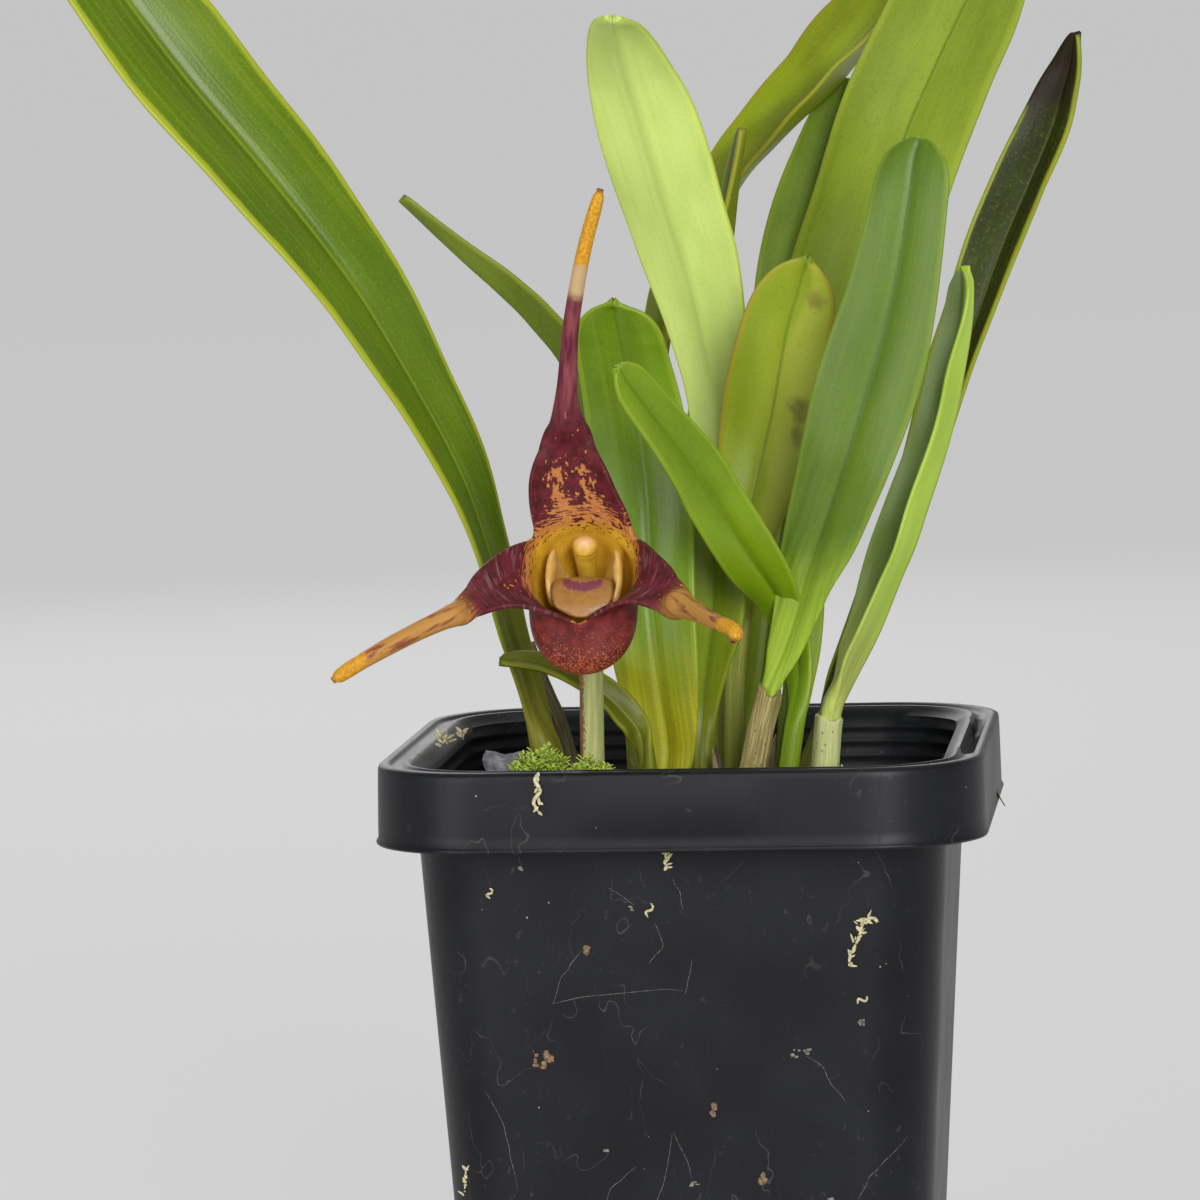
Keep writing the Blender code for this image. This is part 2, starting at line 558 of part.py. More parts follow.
def column(finish):
    """The column: a stout stub over the lip, ending in the rounded anther cap."""
    path = [in_cup(0, 1.5, -7.7), in_cup(0, 2.0, -5), in_cup(0, 2.6, -2.8), in_cup(0, 2.8, -1.7),
            in_cup(0, 2.8, -0.9), in_cup(0, 2.7, -0.4)]
    rings = [circle(p, along, radius, 10) for p, along, radius in
             zip(path, tangents(path), (0.8, 1.05, 1.3, 1.45, 1.15, 0.5))]
    return loft("column", rings, finish)


# Sheaths: the stem each one wraps, the height of its top, its outer radii at foot and top.
SHEATHS = {
    "sheath_dry": dict(stem="leaf_tall_front", top=81, radii=(1.85, 1.75)),
    "sheath_green": dict(stem="leaf_right_folded", top=77.3, radii=(2.15, 2.1)),
}
SHEATH_WALL = 0.6
SHEATH_SIDES = 10
SHEATH_FOOT_GAP = 0.9


def point_at_height(line, z):
    """The point of a stem's line at a height, and its direction there."""
    path = [p.xyz for p in smooth_path(line, 60)]
    best = min(range(1, 59), key=lambda k: abs(path[k].z - z))
    return path[best], (path[best + 1] - path[best - 1]).normalized()


def sheath(name, spec, finish):
    """A papery tube round a stem, a little torn along its upper edge."""
    line = LEAVES[spec["stem"]]["line"]
    foot = medium_height(*line[0][:2]) + SHEATH_FOOT_GAP
    outer, inner = [], []
    for k in range(5):
        z = mix(foot, spec["top"], k / 4)
        centre, along = point_at_height(line, max(z, line[0][2]))
        centre = centre + along * ((z - centre.z) / along.z)
        radius = mix(*spec["radii"], k / 4)
        outer.append(circle(centre, along, radius, SHEATH_SIDES))
        inner.append(circle(centre, along, radius - SHEATH_WALL, SHEATH_SIDES))
    for k in range(SHEATH_SIDES):
        torn = Vector((0, 0, 0.5 * math.sin(k * 2.3)))
        outer[-1][k] += torn
        inner[-1][k] += torn
    return loop_body(name, [*outer, *reversed(inner)], finish)


def loop_body(name, rings, finish):
    """A closed body through rings whose last joins the first, such as a tube's wall."""
    sides = len(rings[0])
    verts = [p for ring in rings for p in ring]
    faces = []
    for r in range(len(rings)):
        nxt = (r + 1) % len(rings)
        for k in range(sides):
            j = (k + 1) % sides
            faces.append((r * sides + k, r * sides + j, nxt * sides + j, nxt * sides + k))
    return add(name, verts, faces, finish)


def stems():
    """Each stem's foot on the rhizome, with its radius."""
    feet = [(Vector((*spec["line"][0][:2], STEM_FOOT_Z)), spec["stem"]) for spec in LEAVES.values()]
    return feet + [(Vector(line[0][:3]), line[0][3]) for line in (STALK, OLD_STALK)]


RHIZOME_LINE = [(-15, -9, 52), (-9, -1, 52), (-2, 5, 52), (4, 6, 52), (9, 1, 52), (14, -3, 52)]
ROOTS = [((-12, -5), (-20, -14)), ((-4, 4), (-14, 16)), ((3, 6), (6, 18)), ((12, -1), (16, -15)),
         ((-1, 5), (-4, -16))]


def rhizome_lines(grow):
    """The rhizome, a branch to each stem's foot and the roots, as points with a radius."""
    lines = [[(*p, RHIZOME_RADIUS + grow) for p in RHIZOME_LINE]]
    axis = [Vector(p) for p in RHIZOME_LINE]
    axis += [a.lerp(b, 0.5) for a, b in zip(axis, axis[1:])]
    for foot, radius in stems():
        near = min(axis, key=lambda p: (p - foot).length)
        wide = min(radius, 1.3) + grow
        share = max(0.5, 1 - 3.5 / max(1, (foot.xy - near.xy).length))
        bend = (mix(near.x, foot.x, share), mix(near.y, foot.y, share), near.z + 1, wide)
        lines.append([(*near, wide), bend, (foot.x, foot.y, foot.z - 1.8, wide),
                      (foot.x, foot.y, foot.z - CLEARANCE, wide)])
    for (x, y), (fx, fy) in ROOTS:
        wide = ROOT_RADIUS + grow
        lines.append([(x, y, RHIZOME_Z, wide), (mix(x, fx, 0.5), mix(y, fy, 0.5), RHIZOME_Z - 9, wide),
                      (fx, fy, ROOT_FOOT_Z, wide)])
    return [longer(line, grow) for line in lines]


def longer(line, extra):
    """A line of points with both its ends pushed on by a little."""
    if not extra:
        return line
    ends = []
    for end, inner in ((line[0], line[1]), (line[-1], line[-2])):
        step = (Vector(end[:3]) - Vector(inner[:3])).normalized() * extra
        ends.append((end[0] + step.x, end[1] + step.y, end[2] + step.z, end[3]))
    return [ends[0], *line[1:-1], ends[1]]


def rhizome_body(name, grow, finish):
    pieces = [tube(f"{name}_{k}", line, 6, finish) for k, line in enumerate(rhizome_lines(grow))]
    return union(name, pieces, finish)


def hole_cutters(finish):
    """Cutters for the stems' holes and for the space that the rhizome lies in."""
    cutters = [rhizome_body("rhizome_space", RHIZOME_GAP, finish)]
    for k, (foot, radius) in enumerate(stems()):
        ends = [foot - Vector((0, 0, CLEARANCE)), foot + Vector((0, 0, 14))]
        rings = [circle(p, Vector((0, 0, 1)), radius + HOLE_GAP, 10) for p in ends]
        cutters.append(loft(f"hole_{k}", rings, finish))
    return cutters


def moss(name, centre, spread, count, seed, finish):
    """A tuft of pointed moss leaves standing out of a low mound."""
    rng = random.Random(seed)
    x0, y0 = centre
    floor = medium_height(x0, y0)
    mound = []
    for radius, z in ((spread, 0.35), (spread * 0.85, 1.3), (spread * 0.4, 2.3)):
        ring = [Vector((x0 + radius * math.cos(a * math.pi / 4), y0 + radius * math.sin(a * math.pi / 4), 0))
                for a in range(8)]
        mound.append([Vector((p.x, p.y, max(medium_height(p.x, p.y) + 0.35, floor + z)))
                      for p in ring])
    pieces = [loft(name + "_mound", mound, finish)]
    for k in range(count):
        turn = 2 * math.pi * (k * 0.618 % 1)
        reach = spread * math.sqrt((k + 0.5) / count) * 0.75
        foot = Vector((x0 + reach * math.cos(turn), y0 + reach * math.sin(turn), floor + 1.2))
        lean = Vector((math.cos(turn), math.sin(turn), 0)) * rng.uniform(0.5, 1.3)
        tip = foot + (lean + Vector((0, 0, 1.6))) * rng.uniform(1.3, 2.0)
        middle = foot.lerp(tip, 0.5)
        side = Vector((-math.sin(turn), math.cos(turn), 0)) * 0.7
        thin = (tip - foot).cross(side).normalized() * 0.35
        rings = [[foot - side * 0.6, foot - thin, foot + side * 0.6, foot + thin],
                 [middle - side, middle - thin, middle + side, middle + thin],
                 [tip - side * 0.2, tip - thin * 0.5, tip + side * 0.2, tip + thin * 0.5]]
        pieces.append(loft(f"{name}_leaf_{k}", rings, finish))
    return union(name, pieces, finish)


CHIP_SEAT = 0.55
CHIPS = {"grit_chip_a": ((-20.5, -14.5), 3.0, 5), "grit_chip_b": ((-25.6, -15.5), 2.0, 8)}


def chip(name, centre, size, seed, finish):
    """An angular chip of grit that rests on the medium."""
    rng = random.Random(seed)
    x0, y0 = centre
    levels = ((0.8, 0.0), (1.0, 0.45), (0.75, 0.95), (0.35, 1.15))
    rings = []
    for share, height in levels:
        ring = []
        for k in range(7):
            a = 2 * math.pi * k / 7
            reach = size * share * rng.uniform(0.8, 1.1) * 0.8
            x, y = x0 + reach * math.cos(a), y0 + reach * 0.8 * math.sin(a)
            ring.append(Vector((x, y, medium_height(x, y) + CHIP_SEAT + size * height)))
        rings.append(ring)
    return loft(name, rings, finish)


def main():
    for obj in list(bpy.data.objects):
        bpy.data.objects.remove(obj)
    black = material("black_plastic", (0.012, 0.013, 0.016), 0.38)
    soil = material("growing_mix", (0.07, 0.045, 0.025), 0.95)
    brown = material("rhizome", (0.22, 0.17, 0.07), 0.7)
    green = material("leaf_green", (0.17, 0.33, 0.04), 0.42)
    pale = material("stalk_green", (0.42, 0.50, 0.20), 0.5)
    dry = material("dry_sheath", (0.36, 0.29, 0.17), 0.85)
    wine = material("sepal_wine", (0.30, 0.04, 0.07), 0.45)
    yellow = material("flower_centre", (0.62, 0.42, 0.08), 0.4)
    moss_green = material("moss", (0.25, 0.42, 0.06), 0.8)
    grit = material("grit", (0.22, 0.22, 0.24), 0.85)

    pot(black)
    medium(soil, hole_cutters(soil))
    rhizome_body("rhizome", 0.0, brown)
    for name, spec in LEAVES.items():
        leaf(name, spec, green)
    for name, spec in SHEATHS.items():
        sheath(name, spec, dry if name == "sheath_dry" else pale)
    tube("flower_stalk", STALK, 10, pale, count=14)
    tube("old_stalk", OLD_STALK, 8, dry, count=8)
    sepals(wine)
    petal("petal_left", -1, yellow)
    petal("petal_right", 1, yellow)
    lip(yellow)
    column(yellow)
    moss("moss_tuft_left", (-19.5, -20.5), 4.0, 20, 3, moss_green)
    moss("moss_tuft_right", (-7.0, -24.0), 3.4, 14, 4, moss_green)
    for name, (centre, size, seed) in CHIPS.items():
        chip(name, centre, size, seed, grit)


main()
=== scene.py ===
"""The looks of a masdevallia orchid with one wine-coloured flower, in a square black nursery pot.

Sizes are in millimetres and turn into metres where a mesh is made. The pot's base lies on z = 0
with its sides along X and Y, and the flower faces -Y.
"""

import math
import random

import bmesh
import bpy
from mathutils import Matrix, Vector, noise


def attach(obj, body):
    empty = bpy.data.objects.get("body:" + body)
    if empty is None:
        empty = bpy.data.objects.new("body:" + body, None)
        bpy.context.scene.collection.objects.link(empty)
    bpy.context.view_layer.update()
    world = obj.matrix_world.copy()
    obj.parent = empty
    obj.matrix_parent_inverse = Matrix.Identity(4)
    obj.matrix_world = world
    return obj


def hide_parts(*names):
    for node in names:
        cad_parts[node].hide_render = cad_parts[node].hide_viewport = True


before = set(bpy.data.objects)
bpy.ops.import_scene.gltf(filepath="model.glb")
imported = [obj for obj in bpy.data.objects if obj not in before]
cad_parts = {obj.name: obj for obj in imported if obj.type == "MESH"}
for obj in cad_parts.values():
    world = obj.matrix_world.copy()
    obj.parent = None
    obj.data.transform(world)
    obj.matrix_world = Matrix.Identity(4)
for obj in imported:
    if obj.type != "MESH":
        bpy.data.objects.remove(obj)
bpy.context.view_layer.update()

MM = 0.001
UP = Vector((0, 0, 1))

# Pot
POT_HEIGHT = 75.0
BASE_HALF = 27.0
BODY_TOP_HALF = 31.5
RIM_HALF = 35.4
RIM_BAND = 9.4
BODY_CORNER = 10.0
RIM_CORNER = 13.5
WALL = 1.0
BASE_THICKNESS = 1.5
DRAIN_RADIUS = 1.8
DRAIN_SPREAD = 17.0
CORNER_STEPS = 14
SIDE_STEPS = 16
RIDGES_FROM = 64.5
RIDGE_STEP = 1.8
RIDGE_DEPTH = 0.18
PANEL_LOW = POT_HEIGHT - RIM_BAND + 2.6
PANEL_HIGH = POT_HEIGHT - 1.6
PANEL_HALF = 10.2

# Growing medium
MEDIUM_TOP = 66.0
BUMP = 0.7

# Leaves
STEM_FOOT_Z = 57.0
LINE_FOOT_Z = 68.0
BLADE_THICKNESS = 1.0
MARGIN_THICKNESS = 0.55
OPENING_RUN = 7.0
BLADE_COLUMNS = 23
RING_STEP = 1.25
TIP_RING_SHARE = 4
TIP_RUN = 6.2
TIP_ARCH = 2.4
TIP_WIDTH_LEFT = 0.62
TIP_CAP_REACH = 0.22
TIP_CAP_NARROWING = 0.42
PLAIN_ROUNDING = 0.08

# Strewn over the medium: a grain of grit that would touch a stem is left out
BARK_CHIPS = 46
DEAD_FIBRES = 70
GRIT_PLACES = 60
STREWN_HALF = 28

# Flower
CUP_CENTRE = Vector((-8.8, -39.5, 98.9))
CUP_TILT = 33.0
CUP_DEPTH = 9.5
CUP_RIM_RADIUS = 6.2
SEPAL_THICKNESS = 0.55
SEPAL_COLUMNS = 37
CUP_ROWS = 30
LOBE_ROWS_EACH = 5
LOBE_BEND = 52.0
TAIL_BEND = -178.5
CHIN_SWELL = 1.14
CORNER_FLARE = 0.13
RIM_ROUNDS = 26
SOFTENED_FROM = 0.72
SOFTENED_TO = 1.42
TAIL_COLOURS_FROM = 1.26
TAIL_COLOURS_FULL = 1.40
FAR_FROM_TIP = 99.0
PETAL_ROWS = 28
LIP_ROWS = 61
COLUMN_ROWS = 40


# Each leaf: points along its midrib from the medium's surface to the tip, each with the blade's
# width there, the way its upper face looks at the foot and at the tip, how far each half is
# folded up (degrees), the radius of its round stem and the height where the stem opens out.
LEAVES = {
    "leaf_long_left": dict(
        line=[(-15.5, -8, 68, 3.8), (-17.8, -8.3, 77, 4.0), (-19, -8.8, 82, 4.2),
              (-20.8, -10.5, 89, 4.8), (-23, -13.5, 100, 6.6), (-26.3, -16.5, 110.5, 8.7),
              (-33.8, -22, 126.2, 11.4), (-38.8, -24, 134.4, 13.6), (-46.6, -26, 145.1, 15.0),
              (-54.9, -28, 155.8, 15.2), (-62.8, -29.5, 167.3, 14.6), (-70, -30, 179, 12.0),
              (-75, -30, 187, 7.5), (-76.5, -30, 189.5, 3.0)],
        face=[(0.75, -0.5, 0.4), (0.55, -0.75, 0.3)], fold=13, stem=1.9, opens=74),
    "leaf_left_arching": dict(
        line=[(-8, 11, 68, 3.0), (-9, 13, 86, 3.2), (-11, 15, 104, 4.0), (-15, 15, 118, 5.2),
              (-19.5, 13.5, 125, 5.2), (-23, 12, 129, 4.6), (-27, 11, 132.8, 3.7),
              (-31, 9.5, 136.8, 2.8), (-34.4, 8, 140.3, 1.4)],
        face=[(0.3, 0.9, 0.2), (0.62, 0.35, 0.7)], fold=24, stem=1.5, opens=72),
    "leaf_front_centre": dict(
        line=[(-3, -9, 68, 5.6), (-2.6, -9, 74, 6.4), (-3.2, -9, 80, 8.8), (-3.8, -9, 85.5, 10.2),
              (-4.4, -8, 93, 10.6), (-4.6, -7, 103, 11.2), (-5.2, -6.8, 110, 11.6),
              (-6, -7.2, 116, 11.2), (-6.7, -8.4, 120.4, 9.8), (-7.1, -10, 123.8, 7.6),
              (-7.4, -11.6, 126.4, 4.6), (-7.5, -12.3, 127.3, 2.2)],
        face=[(-0.25, -0.95, 0), (-0.15, -0.9, 0.35)], fold=4.5, stem=2.2, opens=68),
    "leaf_pale_underside": dict(
        line=[(0, 13, 68, 3.6), (1, 15.5, 86, 4.6), (2, 17.3, 104, 6.0), (2.2, 17.5, 114.5, 7.6),
              (0.9, 16.5, 123.5, 9.9), (-0.1, 15.5, 128.7, 11.4), (-1.3, 14, 133.8, 12.6),
              (-2.8, 12, 139.4, 13.1), (-4, 9.5, 144.7, 13.0), (-5.2, 7, 150, 12.2),
              (-6.2, 4, 154.3, 10.5), (-6.8, 0, 158, 8.0), (-7.1, -4, 160.4, 5.2),
              (-7.1, -7, 161.3, 2.4)],
        face=[(0.25, 0.95, 0), (0.1, 0.6, 0.8)], fold=4, stem=1.8, opens=74),
    "leaf_spotted": dict(
        line=[(4.2, 1.5, 68, 2.6), (4.5, 1.5, 77, 2.6), (4.8, 2.5, 88, 3.2), (5.1, 4, 94.5, 5.2),
              (6.2, 5.2, 100, 7.4), (8.1, 6, 107.6, 10.2), (9.2, 5.8, 111.8, 11.4),
              (10, 5, 115.2, 11.9), (10.9, 4, 119.5, 11.3), (11.8, 3, 123.5, 9.9),
              (12.9, 2, 126.8, 7.8), (13.8, 1, 129.5, 5.0), (14.5, 0, 131.5, 2.2)],
        face=[(-0.1, -1, 0), (0.1, -0.95, 0.3)], fold=8, stem=1.3, opens=82),
    "leaf_front_diagonal": dict(
        line=[(10.9, -7.0, 68, 2.4), (12.2, -6.5, 76, 2.6), (12.9, -5.9, 81, 2.9),
              (12.7, -5.2, 85.5, 3.4), (11.7, -5.6, 89.3, 4.4), (10.2, -8.6, 93.2, 5.6),
              (8.4, -12, 96.8, 6.3), (6.4, -15.4, 100.8, 6.7), (4.5, -18, 104.5, 6.8),
              (2.9, -20.5, 108, 6.9),
              (0.7, -23.5, 111.8, 6.5), (-1.6, -26.5, 115.5, 5.2), (-3.7, -29.5, 119, 3.3),
              (-4.8, -31, 120.9, 1.7)],
        face=[(-0.55, -0.8, 0.1), (0.35, -0.8, 0.5)], fold=7, stem=1.2, opens=76),
    "leaf_tall_front": dict(
        line=[(6.5, -7.5, 68, 1.8), (8.2, -7.6, 76, 1.8), (9.7, -7.8, 81.5, 2.0),
              (11.2, -8, 85.5, 3.6), (12.8, -8.3, 90.1, 5.1), (14.2, -8.7, 94.8, 6.9),
              (16.2, -9, 99.7, 8.9), (18, -9.5, 104.7, 10.2), (19.5, -10, 109, 11.2),
              (21.6, -10, 115.5, 12.0), (23.7, -10, 122, 11.8), (25.1, -10, 127, 11.0),
              (26.1, -10, 131.4, 10.2), (27, -9.9, 136, 9.1), (27.7, -9.6, 140.3, 7.3),
              (28.2, -9, 143.8, 4.8), (28.8, -8.3, 146, 2.2)],
        face=[(-0.3, -0.95, 0), (-0.25, -0.95, 0.2)], fold=6, stem=1.15, opens=79),
    "leaf_right_folded": dict(
        line=[(15.2, -2, 68, 2.2), (16.2, -2, 77.5, 2.4), (17.6, -2, 81, 4.4),
              (18.9, -2, 83.5, 5.7), (21.3, -2, 88, 7.2), (24, -2, 94.3, 8.5),
              (25.7, -2.2, 98, 9.2), (27.4, -2.5, 102.8, 9.0), (29.5, -3, 108.7, 8.3),
              (30.9, -3.4, 113.5, 7.8), (32.1, -3.8, 119, 7.4), (33, -4.2, 124, 6.7),
              (33.3, -4.6, 127.9, 5.2), (33.2, -4.8, 130.2, 2.6)],
        face=[(-0.95, -0.15, 0.2), (-0.9, -0.4, 0.3)], fold=30, stem=1.4, opens=78),
    "leaf_broad_back": dict(
        line=[(5, 18, 68, 3.8), (8, 23, 92, 5.5), (12, 27, 112, 10.5), (17.5, 28.6, 125, 16.4),
              (21, 28, 134.2, 17.6), (25, 25, 145.6, 17.8), (29.3, 22.5, 154.7, 17.9),
              (33.6, 19.5, 163, 17.6), (37.5, 16, 171.2, 16.0), (41, 12.5, 178.6, 12.8),
              (43.7, 9.5, 184.7, 8.0), (45, 8, 188.1, 3.0)],
        face=[(-0.2, -0.95, 0), (-0.35, -0.85, 0.45)], fold=10, stem=1.9, opens=74),
    "leaf_olive_back": dict(
        line=[(-2.5, 21, 68, 3.2), (-5, 25, 86, 3.4), (-6.8, 31, 112, 3.6), (-5, 32, 125.5, 4.4),
              (-0.4, 33, 134.5, 6.1), (4, 33.5, 141.7, 7.4), (7.6, 34, 145.5, 8.7),
              (11, 34, 148.8, 10.2), (14.8, 34, 152, 11.6), (18.2, 34, 155.9, 12.3),
              (22.3, 33, 160.5, 12.0), (26.1, 31.5, 165.6, 9.6), (28.4, 30, 169.4, 5.6),
              (29.4, 29, 171.8, 2.4)],
        face=[(-0.3, -0.9, 0.1), (-0.75, -0.45, 0.5)], fold=34, stem=1.6, opens=74),
    "leaf_narrow_tip": dict(
        line=[(-6.5, 17, 68, 2.6), (-4, 19, 88, 3.2), (-1, 23, 108, 4.2), (2.1, 25.5, 131, 4.0),
              (3.2, 25, 138.5, 3.4), (4, 24.5, 143, 2.6), (4.8, 24, 147.1, 1.4)],
        face=[(-0.9, -0.4, 0), (-0.9, -0.3, 0.3)], fold=30, stem=1.3, opens=72),
    "leaf_blue_back": dict(
        line=[(2, 26, 68, 2.8), (6, 33, 90, 4.2), (8.6, 37, 112, 7.0), (9.6, 38, 124, 8.6),
              (11, 38, 132, 9.0), (13, 37.5, 139.5, 8.2), (15, 37, 146, 6.2),
              (16.6, 36.4, 150.4, 3.8), (17.3, 36, 152.6, 1.8)],
        face=[(0.2, -0.9, 0), (-0.2, -0.9, 0.4)], fold=12, stem=1.4, opens=74),
    "leaf_brown_tip": dict(
        line=[(12, 10, 68, 2.8), (20, 14, 88, 3.6), (26.5, 17, 103, 5.2), (31, 19, 116.5, 6.6),
              (33.9, 19.6, 124, 7.2), (36.9, 19.8, 132, 7.4), (40.2, 19.4, 139.4, 7.5),
              (42.3, 18.8, 144, 7.4), (43.7, 18, 147.6, 6.9), (44.7, 17, 151, 5.7),
              (45.7, 16, 154.2, 3.9), (46.4, 14.6, 157.6, 1.5)],
        face=[(-0.6, -0.75, 0.2), (-0.5, -0.8, 0.35)], fold=30, stem=1.4, opens=74),
    "leaf_low_curl": dict(
        line=[(-4, -15.6, 68, 2.2), (-4.8, -15.7, 76, 2.4), (-6.8, -15.9, 79.4, 3.2),
              (-9.4, -16.1, 82, 3.6), (-12.9, -16.4, 84.2, 3.4), (-15.8, -16.8, 85.5, 2.8),
              (-18.7, -17.4, 86.3, 2.4), (-20.9, -17.8, 86.5, 1.8)],
        face=[(-0.5, -0.3, 0.7), (-0.05, -0.5, 0.85)], fold=24, stem=1.1, opens=71),
    "leaf_short_right": dict(
        line=[(10.6, -4, 68, 2.6), (11.4, -4, 76, 2.8), (12.4, -4, 81, 3.2), (13, -3.6, 86, 4.0),
              (13.6, -3, 92, 3.6), (14, -2.6, 96.5, 1.6)],
        face=[(0.5, 0.85, 0), (0.3, 0.9, 0.3)], fold=24, stem=1.2, opens=71),
    "leaf_hidden_middle": dict(
        line=[(0.5, -1.5, 68, 2.6), (0.9, -1.2, 77, 2.8), (1.6, -1.6, 83, 4.4), (2.4, -2.4, 88, 6.4),
              (2.8, -3, 93, 7.4), (2.6, -3.6, 98, 6.8), (2.1, -4.6, 103, 4.4), (1.9, -5.4, 106.4, 1.8)],
        face=[(0, -1, 0), (0, -0.95, 0.3)], fold=10, stem=1.4, opens=72),
}

# How much wider the finer blades are towards their rounded tips.
ROUNDED_TIPS = {
    "leaf_front_centre": 0.55, "leaf_spotted": 0.45, "leaf_tall_front": 0.60, "leaf_front_diagonal": 0.60,
    "leaf_broad_back": 0.30, "leaf_long_left": 0.30, "leaf_right_folded": 0.20, "leaf_blue_back": 0.30,
}

# Flower stalk and a withered one from an earlier bloom, as points with a radius. The flower's
# own stalk runs on a little into the foot of the cup.
STALK = [(-10.8, -17.5, 57, 1.45), (-10.8, -17.5, 68, 1.45), (-10.5, -19.2, 78, 1.42),
         (-10.1, -21.8, 85, 1.4), (-9.7, -24.8, 89, 1.4), (-9.3, -28.2, 91.6, 1.45),
         (-9.12, -30.9, 93.3, 1.4), (-9.08, -32.0, 93.9, 1.2)]
OLD_STALK = [(-14.2, -3, 57, 0.85), (-14.2, -3, 68, 0.85), (-15.6, -3, 76, 0.75),
             (-17.6, -3.6, 82, 0.6), (-19.2, -4.2, 87, 0.5)]

# Sepals: the range of the cup's rim that each one takes (degrees), then points along its lobe
# and tail, each with the width there.
SEPALS = {
    "dorsal": dict(
        sector=(35, 145),
        line=[(-10, -36.4, 106.2, 10.4), (-10.2, -36.6, 108.6, 10.0), (-10.4, -37, 110.6, 9.0),
              (-10.4, -37.7, 112.7, 6.9), (-10.3, -38.3, 114.7, 4.6), (-10.3, -38.9, 116.9, 3.1),
              (-10.0, -39.6, 120, 2.3), (-9.4, -41, 125.4, 1.9), (-8.7, -42, 129.1, 1.8),
              (-7.8, -43, 133, 1.7), (-6.8, -43.9, 136.6, 1.6), (-5.8, -44.6, 139.6, 1.5),
              (-5.1, -45, 141.8, 1.1)]),
    "left": dict(
        sector=(145, 270),
        line=[(-16.4, -42, 97.2, 8.6), (-18, -43.2, 96.8, 6.9), (-19.6, -44.2, 96.1, 5.1),
              (-21, -45.1, 95.4, 3.7), (-22.4, -46.1, 94.7, 2.8), (-24.5, -47.2, 93.8, 2.3),
              (-27, -48.3, 92.7, 2.1), (-29.7, -49.5, 91.4, 2.0), (-32.7, -50.8, 89.8, 1.8),
              (-34.7, -51.7, 88.6, 1.7), (-36, -52, 87.7, 1.2)]),
    "right": dict(
        sector=(-90, 35),
        line=[(-2.9, -42.2, 97.4, 8.6), (-1.3, -43.4, 97.1, 7.3), (0.1, -44.6, 96.7, 6.1),
              (1.3, -45.9, 96.2, 4.8), (2.5, -47.4, 95.6, 3.6), (4.0, -49.5, 95.1, 2.6),
              (6, -53, 94.5, 2.0), (7.9, -56.5, 94, 1.8), (9.4, -58.8, 93.7, 1.7),
              (10.1, -60, 93.2, 1.7), (9.9, -60.8, 92.3, 1.3)]),
}

# Sheaths: the stem each one wraps, the height of its top, its outer radii at foot and top.
SHEATHS = {
    "sheath_dry": dict(stem="leaf_tall_front", top=81, radii=(1.7, 1.55)),
    "sheath_green": dict(stem="leaf_right_folded", top=77.3, radii=(1.85, 1.75)),
}


# Curves and small sums

def ease(x):
    """0 to 1 with level ends."""
    x = max(0.0, min(1.0, x))
    return x * x * (3 - 2 * x)


def mix(a, b, share):
    """The value a share of the way from one to the other."""
    return a + (b - a) * share


def bell(x, width):
    """1 at the middle, falling off on both sides."""
    return math.exp(-(x / width) ** 2)


def curve_at(p0, p1, p2, p3, t):
    """A point between the middle two of four, on the smooth curve through them."""
    return 0.5 * (2 * p1 + (p2 - p0) * t + (2 * p0 - 5 * p1 + 4 * p2 - p3) * t * t
                  + (3 * p1 - p0 - 3 * p2 + p3) * t ** 3)


def smooth_path(points, count):
    """A smooth curve through the points, resampled at even steps; a fourth number is a width."""
    pts = [Vector(p) for p in points]
    pts = [2 * pts[0] - pts[1], *pts, 2 * pts[-1] - pts[-2]]
    fine = [curve_at(*four, k / 12) for four in zip(pts, pts[1:], pts[2:], pts[3:]) for k in range(12)]
    fine.append(pts[-2])
    run = [0.0]
    for a, b in zip(fine, fine[1:]):
        run.append(run[-1] + (b.xyz - a.xyz).length)
    even, k = [], 0
    for i in range(count):
        want = run[-1] * i / (count - 1)
        while k < len(fine) - 2 and run[k + 1] < want:
            k += 1
        even.append(fine[k].lerp(fine[k + 1], min(1.0, (want - run[k]) / (run[k + 1] - run[k]))))
    return even


def path_length(points):
    """The length of a line through points."""
    return sum((b.xyz - a.xyz).length for a, b in zip(points, points[1:]))


def tangents(points):
    """The line's direction at each of its points."""
    ends = [points[0], *points, points[-1]]
    return [(c - a).normalized() for a, c in zip(ends, ends[2:])]


def lumps(place, period, seed=0.0):
    """Smooth noise from about -1 to 1 at a place, with lumps of about the period in size."""
    return noise.noise(Vector(place) / period + Vector((seed, -seed * 0.7, seed * 1.3)))


def medium_height(x, y):
    """The lumpy surface of the growing medium."""
    return MEDIUM_TOP + BUMP * (math.sin(x * 0.61 + 1.3) * math.cos(y * 0.53)
                                + 0.5 * math.sin(x * 1.1 - y * 0.9))


# Meshes

def keep_marks(mesh, marks):
    """Stores numbers or places with the mesh's points, for its finish to read."""
    for key, values in marks.items():
        if isinstance(values[0], (int, float)):
            store = mesh.attributes.new(key, "FLOAT", "POINT")
            store.data.foreach_set("value", [float(v) for v in values])
        else:
            store = mesh.attributes.new(key, "FLOAT_VECTOR", "POINT")
            store.data.foreach_set("vector", [float(c) for v in values for c in v])


